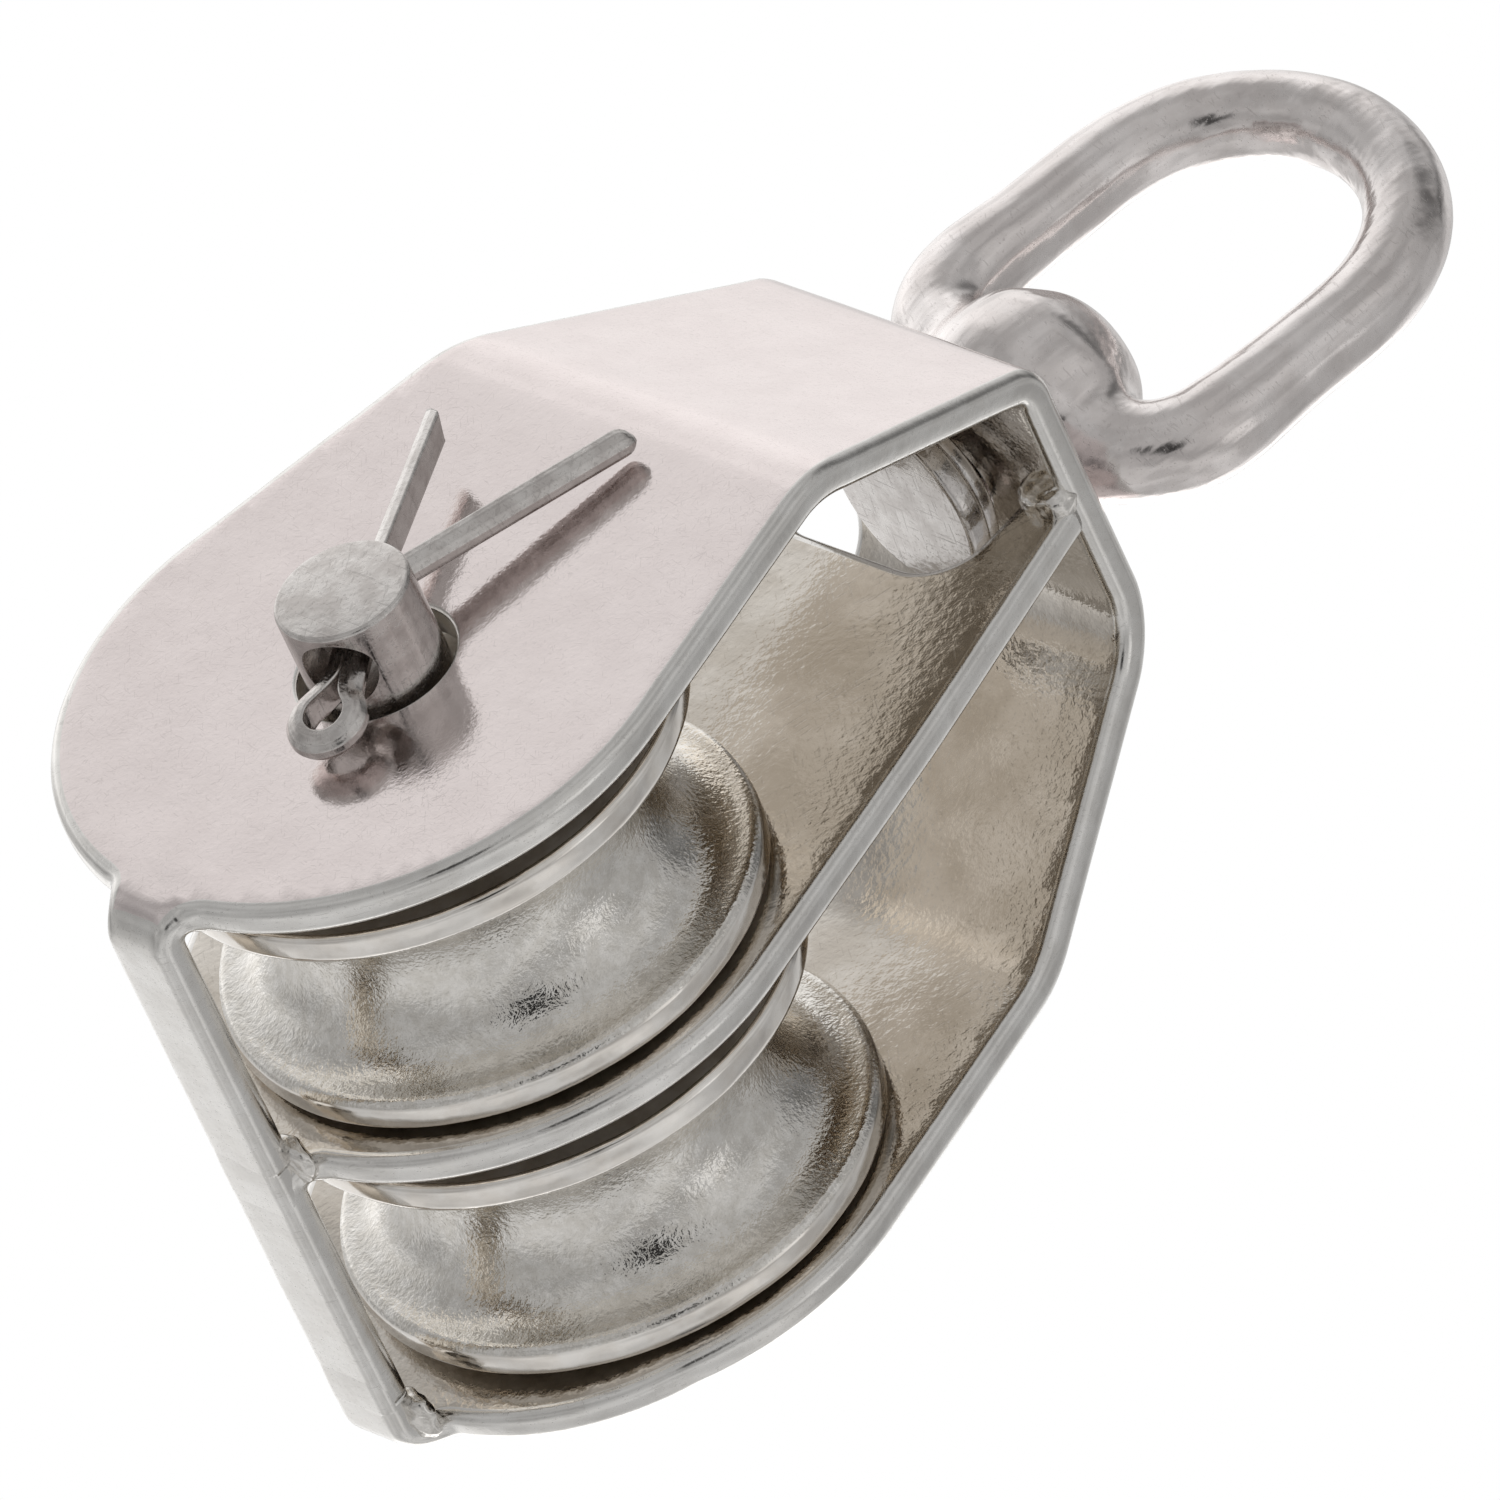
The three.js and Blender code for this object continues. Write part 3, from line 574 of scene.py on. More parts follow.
def bent_sheet(path, runs, holes, ripple):
    """Sheet with rounded edges along open runs and round holes, bent along a path.

    Runs are lines of (length, offset) points that follow one another round the outline, the
    material on their left; the ends between them are cut square. Holes are (length, radius),
    on the middle line. Returns points, faces and what each face is, seen with +Y to the right:
    0 on the right of the path, 1 edge, 2 on its left.
    """
    loops = []
    for run in runs:
        run = resampled(run, OUTLINE_SPACING)
        heading = headings(run)
        outward = np.stack([heading[:, 1], -heading[:, 0]], axis=1)
        loops.append((run, outward, SHEET_EDGE, False))
    for s, radius in holes:
        angles = np.linspace(0, 2 * math.pi, HOLE_STEPS, endpoint=False)
        arm = np.stack([np.cos(angles), np.sin(angles)], axis=1)
        loops.append((np.array([s, 0]) + arm * radius, -arm, SHEET_HOLE_EDGE, True))

    flat, faces, kinds, columns = [], [], [], []
    half = SHEET / 2
    for line, outward, edge, is_hole in loops:
        quarter = np.linspace(0, math.pi / 2, EDGE_STEPS + 1)
        inset = np.concatenate([edge * (1 - np.sin(quarter)), edge * (1 - np.sin(quarter[::-1]))])
        height = half - edge * (1 - np.cos(quarter))
        height = np.concatenate([height, -height[::-1]])
        base = len(flat)
        per = len(inset)
        for point, out in zip(line, outward):
            for step_in, t in zip(inset, height):
                s, w = point - out * step_in
                flat.append((min(max(s, 0), path.length), w, t))
        count = len(line)
        index = base + np.arange(count * per).reshape(count, per)
        columns.append(index)
        for i in range(count if is_hole else count - 1):
            j = (i + 1) % count
            for k in range(per - 1):
                faces.append([index[i, k], index[i, k + 1], index[j, k + 1], index[j, k]])
                kinds.append(1)
    for i in range(len(runs)):
        last = columns[i][-1]
        first = columns[(i + 1) % len(runs)][0]
        faces.append(list(last) + list(first[::-1]))
        kinds.append(1)

    outer = np.concatenate([columns[i][:, 0] for i in range(len(runs))])
    inner = [column[:, 0] for column in columns[len(runs):]]
    flat = np.array(flat)
    rims = [flat[rim][:, :2] for rim in [outer, *inner]]
    grid = interior_points(path, rims)
    rim_index = np.concatenate([outer, *inner])
    rim_points = flat[rim_index][:, :2]
    plane = np.concatenate([rim_points, grid])
    edges = []
    start = 0
    for rim in rims:
        edges += [(start + i, start + (i + 1) % len(rim)) for i in range(len(rim))]
        start += len(rim)
    _, _, triangles, origin, _, _ = delaunay_2d_cdt(
        [Vector(p) for p in plane], edges, [], 0, 1e-6, True)
    source = np.array([ids[0] for ids in origin])
    triangles = source[np.array([list(t) for t in triangles])]
    triangles = triangles[within(triangles, edges)]

    per_column = {int(entry[0]): int(entry[-1]) for column in columns for entry in column}
    top = list(rim_index) + list(range(len(flat), len(flat) + len(grid)))
    under = [per_column[int(i)] for i in rim_index]
    under += list(range(len(flat) + len(grid), len(flat) + 2 * len(grid)))
    flat = np.concatenate([
        flat,
        np.column_stack([grid, np.full(len(grid), half)]),
        np.column_stack([grid, np.full(len(grid), -half)]),
    ])
    for a, b, c in triangles:
        faces.append([top[a], top[b], top[c]])
        kinds.append(0)
        faces.append([under[a], under[c], under[b]])
        kinds.append(2)

    lift = ripple(np.column_stack([flat[:, 0], flat[:, 1], np.zeros(len(flat))])) + SHEET_INWARD
    point, heading = path.at(flat[:, 0])
    t = flat[:, 2] + lift
    points = np.column_stack([
        flat[:, 1],
        point[:, 0] + heading[:, 1] * t,
        point[:, 1] - heading[:, 0] * t,
    ])
    return points, faces, kinds


def within(triangles, rim_edges):
    """Which triangles lie inside the rims: each rim that is crossed on the way in changes sides."""
    rim = {frozenset(edge) for edge in rim_edges}
    beside = {}
    for index, triangle in enumerate(triangles):
        for k in range(3):
            beside.setdefault(frozenset((triangle[k], triangle[(k + 1) % 3])), []).append(index)
    inside = {}
    queue = []
    for edge, users in beside.items():
        if len(users) == 1 and users[0] not in inside:
            inside[users[0]] = edge in rim
            queue.append(users[0])
    while queue:
        index = queue.pop()
        triangle = triangles[index]
        for k in range(3):
            edge = frozenset((triangle[k], triangle[(k + 1) % 3]))
            for other in beside[edge]:
                if other not in inside:
                    inside[other] = inside[index] != (edge in rim)
                    queue.append(other)
    return [index for index in range(len(triangles)) if inside[index]]


def interior_points(path, rims):
    """A grid of points within the rims, closer together wherever the path bends."""
    stations = []
    for part in path.parts:
        spacing = FLAT_SPACING
        if part["arc"]:
            spacing = max(0.4, part["radius"] * 6 * DEG)
        steps = max(1, math.ceil(part["span"] / spacing))
        stations += list(part["from"] + part["span"] * (np.arange(steps) + 0.5) / steps)
    widths = np.arange(-LOBE_RADIUS, LOBE_RADIUS + 0.1, FLAT_SPACING)
    grid = np.array([(s, w) for s in stations for w in widths])
    grid = grid[inside_loops(grid, rims)]
    rim = np.concatenate(rims)
    clear = np.full(len(grid), np.inf)
    for block in np.array_split(np.arange(len(grid)), 16):
        apart = np.linalg.norm(grid[block][:, None] - rim[None], axis=2)
        clear[block] = apart.min(axis=1)
    return grid[clear > RIM_CLEARANCE]


def mid_surface():
    """Where the strap's middle surface lies: cheek, top, and its corners at shoulder and bridge."""
    half = SHEET / 2
    lean = np.array([HALF_DEPTH - BRIDGE_HALF_DEPTH, BRIDGE_HEIGHT - SHOULDER_HEIGHT])
    lean /= np.linalg.norm(lean)
    moved = np.array([-HALF_DEPTH + lean[1] * half, SHOULDER_HEIGHT - lean[0] * half])
    cheek = -HALF_DEPTH + half
    top = BRIDGE_HEIGHT - half
    shoulder = moved[1] + (cheek - moved[0]) * lean[1] / lean[0]
    bridge = moved[0] + (top - moved[1]) * lean[0] / lean[1]
    return cheek, top, shoulder, bridge


def taper(start, stops):
    """Straight tapers between (length, half-width) stops, their corners eased."""
    return softened(resampled([start, *stops], TAPER_SPACING), CORNER_PASSES)


def outer_strap():
    """Front tail, cheek, bridge, rear cheek and rear tail, one strip bent seven times."""
    cheek, top, shoulder, bridge = mid_surface()
    corners = [
        (-SHEET / 2 + JOINT_OVERLAP, BAR_MIDDLE), (cheek, BAR_MIDDLE), (cheek, shoulder),
        (bridge, top), (-bridge, top), (-cheek, shoulder), (-cheek, REAR_FLARE_TOP),
        (-cheek + REAR_FLARE, BAR_MIDDLE), (REAR_TAB_END, BAR_MIDDLE),
    ]
    radii = [BAR_BEND, SHOULDER_BEND, FRONT_BRIDGE_BEND]
    radii += [REAR_BRIDGE_BEND, SHOULDER_BEND, SHOULDER_BEND, BAR_BEND]
    path = FilletedPath(corners, [radius - SHEET / 2 for radius in radii])
    middles = [arc["from"] + arc["span"] / 2 for arc in path.arcs()]
    front_upright, flat_bridge, rear_upright = (path.parts[k] for k in (2, 6, 10))
    front_lobe = front_upright["from"] - LOBE_DROP - front_upright["start"][1]
    rear_lobe = rear_upright["from"] + rear_upright["start"][1] + LOBE_DROP
    front = lobe_outline(front_lobe, middles[1])
    rear = [(-s, w) for s, w in lobe_outline(-rear_lobe, -middles[4])][::-1]
    upper = taper(front[-1], [
        (middles[1], SHOULDER_HALF_WIDTH), (middles[2], BRIDGE_HALF_WIDTH),
        (middles[3], BRIDGE_HALF_WIDTH), (middles[4], SHOULDER_HALF_WIDTH), rear[0],
    ])
    right = [(0, BAR_HALF_WIDTH), *front, *upper[1:-1], *rear, (path.length, BAR_HALF_WIDTH)]
    right = np.array(right)
    holes = [
        (front_lobe + LOBE_DROP, AXLE_HOLE_RADIUS),
        (rear_lobe - LOBE_DROP, AXLE_HOLE_RADIUS),
        (flat_bridge["from"] - flat_bridge["start"][0], SWIVEL_HOLE_RADIUS),
    ]
    outline = [right[::-1], right * (1, -1)]
    points, faces, kinds = bent_sheet(path, outline, holes, wander(*STRAP_RIPPLE))
    for centre, reach, depth in TAB_DENTS:
        share = np.exp(-np.sum(((points - centre) / reach) ** 2, axis=1))
        points = points + share[:, None] * np.array(depth)
    return points, faces, kinds


def centre_plate():
    """Plate between the sheaves, notched at the top, its tail bent to the rear."""
    crest = BRIDGE_HEIGHT - SHEET + JOINT_OVERLAP
    corners = [(REAR_TAB_END + JOINT_OVERLAP, BAR_MIDDLE), (0, BAR_MIDDLE), (0, crest)]
    path = FilletedPath(corners, [BAR_BEND - SHEET / 2])
    upright = path.parts[2]

    def length_at(z):
        return upright["from"] + z - upright["start"][1]

    lobe = lobe_outline(length_at(-LOBE_DROP), length_at(SHOULDER_HEIGHT))
    upper = taper(lobe[-1], [
        (length_at(SHOULDER_HEIGHT), SHOULDER_HALF_WIDTH), (path.length, BRIDGE_HALF_WIDTH),
    ])
    right = np.array([(0, BAR_HALF_WIDTH), *lobe, *upper[1:]])
    floor, side = length_at(NOTCH_FLOOR), NOTCH_HALF_WIDTH
    notch = [(path.length, side)]
    for angle in np.linspace(0, math.pi / 2, 12):
        notch.append((
            floor + NOTCH_CORNER * (1 - math.sin(angle)), side - NOTCH_CORNER * (1 - math.cos(angle)),
        ))
    notch = np.array(notch)
    notch = np.concatenate([notch * (1, -1), notch[::-1]])
    outline = [right[::-1], right * (1, -1), notch]
    holes = [(length_at(0), AXLE_HOLE_RADIUS)]
    return bent_sheet(path, outline, holes, wander(*PLATE_RIPPLE))


# ---------------------------------------------------------------------------------------------
# Turned pieces
# ---------------------------------------------------------------------------------------------

def sheave_profile():
    """Hub, recessed web, flat-crested lips and round groove, from the bore and back to it."""
    w, r = SHEAVE_HALF_WIDTH, SHEAVE_RADIUS
    mouth = w - LIP_WIDTH
    side = rounded_profile([
        (SHEAVE_BORE, 0, 0),
        (SHEAVE_BORE, -SHEAVE_HUB_HALF_WIDTH, 0.4),
        (SHEAVE_HUB_RADIUS, -SHEAVE_HUB_HALF_WIDTH, 0.5),
        (SHEAVE_HUB_RADIUS + 0.8, -w + WEB_RECESS, 0.5),
        (SHEAVE_RIM_INNER - 0.8, -w + WEB_RECESS, 0.5),
        (SHEAVE_RIM_INNER, -w, 0.5),
        (r, -w, LIP_OUTER_ROUND),
        (r, -mouth, LIP_GROOVE_ROUND),
        (r - LIP_GROOVE_ROUND, -mouth, 0),
    ], 4)
    profile = [tuple(p) for p in side[:-1]]
    for angle in np.linspace(0, math.pi / 2, 24)[1:]:
        depth = LIP_GROOVE_ROUND + (GROOVE_DEPTH - LIP_GROOVE_ROUND) * math.sin(angle)
        profile.append((r - depth, -mouth * math.cos(angle)))
    mirrored = [(radius, -height) for radius, height in profile[1:-1]][::-1]
    return profile + mirrored


def sheave(side, seed):
    """One sheave and what each face is: 0 groove, 1 lip, 2 side."""
    points, faces = turned(sheave_profile(), SHEAVE_SEGMENTS)
    points = displaced(points, faces, wander(seed, *SHEAVE_SKIN))
    middles = np.array([np.mean(points[list(face)], axis=0) for face in faces])
    groove = np.abs(middles[:, 1]) < SHEAVE_HALF_WIDTH - LIP_WIDTH + 0.5 * LIP_GROOVE_ROUND
    reach = np.hypot(middles[:, 0], middles[:, 2])
    parts = np.where(reach < SHEAVE_RADIUS - LIP_OUTER_ROUND, 2, 1)
    parts[groove & (reach > SHEAVE_BORE + 1)] = 0
    points += np.array(SHEAVE_REST) + (0, side * SHEAVE_SPACING / 2, 0)
    return points, faces, parts.tolist()


def axle_pin():
    """Round pin with a chamfered, nicked front end and a low rear head, still without its hole."""
    front = -HALF_DEPTH - AXLE_PROTRUSION
    shoulder = HALF_DEPTH + RUNNING_GAP
    rear = shoulder + AXLE_HEAD_THICKNESS
    profile = rounded_profile([
        (0, front, 0),
        (AXLE_RADIUS, front, AXLE_CHAMFER),
        (AXLE_RADIUS, shoulder, 0.2),
        (AXLE_HEAD_RADIUS, shoulder, 0.3),
        (AXLE_HEAD_RADIUS, rear, 0.9),
        (0, rear, 0),
    ], 5)
    points, faces = turned(profile, AXLE_SEGMENTS)
    nick = wander(*AXLE_NICKS)
    at_rim = np.exp(-((points[:, 1] - front) / 0.5) ** 2) * (np.hypot(points[:, 0], points[:, 2]) > 4)
    shrink = 1 - at_rim * np.abs(nick(points)) / AXLE_RADIUS
    points[:, 0] *= shrink
    points[:, 2] *= shrink
    return points, faces


def drilled_axle(finish):
    """The axle with the split pin's cross-hole in it and all its rims eased."""
    axle = add_piece("axle_round", *axle_pin(), "axle", "turned_steel", ["axle_pin"], [finish])
    hole_profile = [
        (radius, end * CROSS_HOLE_HALF_LENGTH)
        for radius, end in ((0, -1), (CROSS_HOLE_RADIUS, -1), (CROSS_HOLE_RADIUS, 1), (0, 1))
    ]
    hole, hole_faces = turned(hole_profile, CROSS_HOLE_SEGMENTS, "z")
    heading = Vector((math.cos(SPLIT_PIN_ANGLE), 0, math.sin(SPLIT_PIN_ANGLE)))
    turn = np.array(Vector((0, 0, 1)).rotation_difference(heading).to_matrix())
    cut(axle, hole @ turn.T + (0, -CROSS_HOLE_DEPTH, 0), hole_faces)
    bevel = axle.modifiers.new("eased_rims", "BEVEL")
    bevel.width = AXLE_RIM_EASE * MM
    bevel.segments = 3
    bevel.limit_method = "ANGLE"
    bevel.angle_limit = 50 * DEG
    apply_modifiers(axle)
    tidy_mesh(axle)


def swivel_pin():
    """Shank and flat head, in the swivel's own axes."""
    under = SWIVEL_HEAD_TOP - SWIVEL_HEAD_THICKNESS
    profile = rounded_profile([
        (0, under, 0),
        (SWIVEL_HEAD_RADIUS, under, 0.45),
        (SWIVEL_HEAD_RADIUS, SWIVEL_HEAD_TOP, 0.4),
        (SWIVEL_PIN_RADIUS, SWIVEL_HEAD_TOP, 0.2),
        (SWIVEL_PIN_RADIUS, SWIVEL_PIN_TOP, 0.3),
        (0, SWIVEL_PIN_TOP, 0),
    ], 5)
    return turned(profile, SWIVEL_SEGMENTS, "z")


def swivel_washer():
    """Ring round the shank, between the head and the bridge, in the swivel's own axes."""
    inner = SWIVEL_PIN_RADIUS + RUNNING_GAP
    bottom = SWIVEL_WASHER_TOP - SWIVEL_WASHER_THICKNESS
    middle = (bottom + SWIVEL_WASHER_TOP) / 2
    profile = rounded_profile([
        (inner, middle, 0),
        (inner, bottom, 0.25),
        (SWIVEL_WASHER_RADIUS, bottom, 0.4),
        (SWIVEL_WASHER_RADIUS, SWIVEL_WASHER_TOP, 0.4),
        (inner, SWIVEL_WASHER_TOP, 0.25),
        (inner, middle + 0.01, 0),
    ], 4)
    return turned(profile, SWIVEL_SEGMENTS, "z")


# ---------------------------------------------------------------------------------------------
# Split pin
# ---------------------------------------------------------------------------------------------

def split_pin_line():
    """Centre line in the pin's own plane: along it, across it, and sink towards the cheek."""
    offset = SPLIT_PIN_THICKNESS / 2

    def sunk(along, across):
        sink = max(0.0, SPLIT_PIN_SINK_START - along) * SPLIT_PIN_SINK_SLOPE
        return (along, across, sink)

    points = [(SHORT_LEG_END, -offset, 0)]
    points += [sunk(SPLIT_PIN_SINK_START, -offset), sunk(SPLIT_PIN_NECK, -offset)]
    opening = SPLIT_PIN_RING_OPENING
    for angle in np.linspace(opening, 2 * math.pi - opening, 48):
        along = SPLIT_PIN_RING_CENTRE + SPLIT_PIN_RING * math.cos(angle)
        points.append(sunk(along, SPLIT_PIN_RING_SHIFT - SPLIT_PIN_RING * math.sin(angle)))
    points += [sunk(SPLIT_PIN_NECK, offset), sunk(SPLIT_PIN_SINK_START, offset)]
    points.append((LONG_LEG_BEND_START, offset, 0))
    for angle in np.linspace(0, LONG_LEG_ANGLE, 10)[1:]:
        along = LONG_LEG_BEND_START + LONG_LEG_BEND_RADIUS * math.sin(angle)
        points.append((along, offset + LONG_LEG_BEND_RADIUS * (1 - math.cos(angle)), 0))
    along, across, _ = points[-1]
    run = LONG_LEG_LENGTH * math.cos(LONG_LEG_ANGLE)
    rise = LONG_LEG_LENGTH * math.sin(LONG_LEG_ANGLE)
    points.append((along + run, across + rise, LONG_LEG_DROP))
    return softened(resampled(points, WIRE_SPACING), 4)


def wire_section():
    """D-shaped section, flat at x = 0, with faint drawn flutes on its round side."""
    angle = np.linspace(math.pi / 2, 1.5 * math.pi, WIRE_STEPS)
    fluted = 1 - WIRE_FLUTE_DEPTH * (0.5 + 0.5 * np.cos(WIRE_FLUTES * angle))
    arc = np.column_stack([
        SPLIT_PIN_THICKNESS * np.cos(angle) * fluted, SPLIT_PIN_WIDTH / 2 * np.sin(angle) * fluted,
    ])
    flat = np.array([(0, y) for y in np.linspace(-SPLIT_PIN_WIDTH / 2, SPLIT_PIN_WIDTH / 2, 15)[1:-1]])
    return softened_loop(np.concatenate([arc, flat]), 3)


def split_pin():
    """Half-round wire swept along its line, its short leg cut to a chisel, its long one domed."""
    along = np.array([math.cos(SPLIT_PIN_ANGLE), 0, math.sin(SPLIT_PIN_ANGLE)])
    across = np.array([along[2], 0, -along[0]])
    axle = np.array([0.0, 1.0, 0.0])
    origin = np.array([0, -CROSS_HOLE_DEPTH, 0]) + across * SPLIT_PIN_OFFSET
    line = split_pin_line()
    heading = headings(line[:, :2])
    section = wire_section()
    rings = []
    for i, ((u, v, sink), (hu, hv)) in enumerate(zip(line, heading)):
        from_tip = (len(line) - 1 - i) * WIRE_SPACING
        size = 1.0
        if from_tip < SPLIT_PIN_WIDTH / 2:
            size = math.sqrt(max(0.08, 1 - (1 - from_tip / (SPLIT_PIN_WIDTH / 2)) ** 2))
        chisel = max(0.0, 1 - i / CHISEL_STATIONS)
        ring = []
        for x, y in section:
            out = (x + SPLIT_PIN_THICKNESS / 2) * size
            lean = (0.7 * (x + SPLIT_PIN_THICKNESS) - 0.4 * y) * chisel
            in_plane = origin + along * (u - lean + hv * out) + across * (v - hu * out)
            ring.append(in_plane + axle * (sink - y * size))
        rings.append(np.array(ring))
    return lofted(rings)


# ---------------------------------------------------------------------------------------------
# Swivel eye
# ---------------------------------------------------------------------------------------------

def eye_line():
    """Closed centre line of the eye in its own plane, local zero at the middle of the bridge."""
    points = [(0, EYE_BASE), (EYE_HALF_WIDTH - EYE_CORNER, EYE_BASE)]
    for angle in np.linspace(-math.pi / 2, 0, 16)[1:]:
        points.append((
            EYE_HALF_WIDTH - EYE_CORNER + EYE_CORNER * math.cos(angle),
            EYE_BASE + EYE_CORNER + EYE_CORNER * math.sin(angle),
        ))
    for angle in np.linspace(0, math.pi / 2, 24):
        points.append((
            EYE_HALF_WIDTH * math.cos(angle), EYE_TOP - EYE_CROWN + EYE_CROWN * math.sin(angle),
        ))
    mirrored = [(-x, z) for x, z in points[1:-1]][::-1]
    return softened_loop(resampled(points + mirrored + [points[0]], 0.6)[:-1], 8)


def swivel_frame(points, turn=0.0):
    """Points in the swivel's own axes laid on the bridge, turned and leaning."""
    lean = Vector((0, 0, 1)).rotation_difference(LEAN_AXIS).to_matrix()
    spin = Matrix.Rotation(turn, 3, "Z")
    return np.asarray(points) @ np.array(lean @ spin).T + PIVOT


def eye_rings():
    """Sections of the eye's bar, round its closed centre line."""
    line = eye_line()
    heading = headings(line, closed=True)
    angles = np.linspace(0, 2 * math.pi, 36, endpoint=False)
    rings = []
    for (u, z), (hu, hz) in zip(line, heading):
        flare = EYE_FLARE * smooth_share((EYE_FLARE_REACH - abs(u)) / EYE_FLARE_REACH)
        flare *= smooth_share((EYE_BASE + EYE_CORNER - z) / EYE_CORNER)
        flare += EYE_FOOT * smooth_share((EYE_BASE + 2 * EYE_CORNER - z) / EYE_CORNER)
        size = 1 + flare
        for waves, phase, height in EYE_OUT_OF_ROUND:
            size = size + height * np.sin(waves * angles + phase)
        radius = EYE_BAR * (size - EYE_UNDERSIZE)
        rings.append(np.column_stack([
            u + hz * radius * np.cos(angles), radius * np.sin(angles), z - hu * radius * np.cos(angles),
        ]))
    return rings


def swivel_eye(finish):
    """Eye and boss blended into one forging, with a socket for the swivel pin."""
    ring_points, ring_faces = lofted(eye_rings(), closed=True)
    hub_profile = rounded_profile([
        (0, HUB_BASE, 0),
        (HUB_RADIUS - 1.4, HUB_BASE, 0.8),
        (HUB_RADIUS, HUB_BASE + 3.2, 3),
        (HUB_RADIUS - 0.1, HUB_TOP - 5.2, 2.5),
        (HUB_RADIUS - 3.0, HUB_TOP - 1.4, 3),
        (HUB_RADIUS - 6.2, HUB_TOP, 1.5),
        (0, HUB_TOP, 0),
    ], 6)
    hub_points, hub_faces = turned(hub_profile, BOSS_SEGMENTS, "z")
    points = np.concatenate([ring_points, hub_points])
    faces = ring_faces + [[i + len(ring_points) for i in face] for face in hub_faces]
    points = swivel_frame(points, SWIVEL_ANGLE)
    piece = add_piece("swivel_eye_forged", points, faces, "eye", "forged_eye", ["swivel_eye"], [finish])
    remesh = piece.modifiers.new("one_skin", "REMESH")
    remesh.mode = "VOXEL"
    remesh.voxel_size = EYE_VOXEL * MM
    apply_modifiers(piece)
    blend_eye(piece)
    socket_radius, socket_top = SWIVEL_PIN_RADIUS + RUNNING_GAP, SWIVEL_PIN_TOP + RUNNING_GAP
    socket, socket_faces = turned(rounded_profile([
        (0, -4, 0), (socket_radius, -4, 0), (socket_radius, socket_top, 0.3), (0, socket_top, 0),
    ]), SOCKET_SEGMENTS, "z")
    cut(piece, swivel_frame(socket), socket_faces)


def blend_eye(piece):
    """Eases the forging's crotches, then gives it the shallow dents of a cast skin."""
    mesh = piece.data
    count = len(mesh.vertices)
    co = np.zeros(count * 3)
    mesh.vertices.foreach_get("co", co)
    co = co.reshape(-1, 3) / MM + BEARING
    pairs = np.zeros(len(mesh.edges) * 2, np.int32)
    mesh.edges.foreach_get("vertices", pairs)
    pairs = pairs.reshape(-1, 2)
    degree = np.bincount(pairs.ravel(), minlength=count)[:, None]
    from_pivot = co - PIVOT
    height = from_pivot @ np.array(LEAN_AXIS)
    apart = np.linalg.norm(from_pivot - height[:, None] * np.array(LEAN_AXIS), axis=1)
    blend = np.clip((EYE_BLEND_RADIUS - apart) / 3.5, 0, 1)
    blend = blend * np.clip((EYE_BLEND_TOP - height) / 3, 0, 1)
    blend = (blend * np.clip((height - EYE_BLEND_BOTTOM) / 1.5, 0, 1))[:, None]
    for step in range(EYE_BLEND_PASSES):
        total = np.zeros_like(co)
        np.add.at(total, pairs[:, 0], co[pairs[:, 1]])
        np.add.at(total, pairs[:, 1], co[pairs[:, 0]])
        share = 0.6 if step < EYE_EASE_PASSES else 0.6 * blend
        co += share * (total / degree - co)
    dents = wander(*EYE_DENTS)
    faces = [tuple(p.vertices) for p in mesh.polygons]
    co = displaced(co, faces, lambda p: dents(p) - EYE_INWARD)
    mesh.vertices.foreach_set("co", ((co - BEARING) * MM).ravel())
    mesh.update()
    tidy_mesh(piece)


# ---------------------------------------------------------------------------------------------
# Welds
# ---------------------------------------------------------------------------------------------

def weld_bead(centre, size, seed):
    """A lumpy bead, an ellipsoid whose skin is puddled and wrinkled."""
    work = bmesh.new()
    bmesh.ops.create_icosphere(work, subdivisions=5, radius=1)
    points = np.array([v.co for v in work.verts])
    faces = [[v.index for v in f.verts] for f in work.faces]
    work.free()
    points = np.sign(points) * np.abs(points) ** BEAD_SQUARENESS * np.array(size)
    return displaced(points, faces, wander(seed, *BEAD_LUMPS)) + np.array(centre), faces


def ground_weld(joint, start, end):
    """A skin of weld ground almost flush, wrapped round the bar where two ends meet."""
    section = np.array(rounded_rectangle(BAR_HALF_WIDTH, SHEET / 2, SHEET_EDGE, 8))
    rings = []
    for y in np.linspace(end, start, GROUND_WELD_STATIONS):
        sink = GROUND_WELD_SAG * ((y - joint) / GROUND_WELD_REACH) ** 2
        sink += GROUND_WELD_TOE * (1 - smooth_share((end - y) / GROUND_WELD_FADE))
        grow_x = 1 - (sink - GROUND_WELD_PROUD) / BAR_HALF_WIDTH
        grow_z = 1 - sink / (SHEET / 2)
        rings.append(np.column_stack([
            section[:, 0] * grow_x, np.full(len(section), y), BAR_MIDDLE + section[:, 1] * grow_z,
        ]))
    points, faces = lofted(rings)
    hollows = wander(*GROUND_WELD_HOLLOWS)
    return displaced(points, faces, lambda p: hollows(p) - GROUND_WELD_INWARD), faces


def rounded_rectangle(half_width, half_height, radius, steps):
    """Section with four round corners, its middle at zero."""
    section = []
    for quarter, (sx, sz) in enumerate(((1, 1), (-1, 1), (-1, -1), (1, -1))):
        for angle in np.linspace(quarter * 90, quarter * 90 + 90, steps) * DEG:
            section.append((
                sx * (half_width - radius) + radius * math.cos(angle),
                sz * (half_height - radius) + radius * math.sin(angle),
            ))
    return section


# ---------------------------------------------------------------------------------------------
# Finishes
# ---------------------------------------------------------------------------------------------

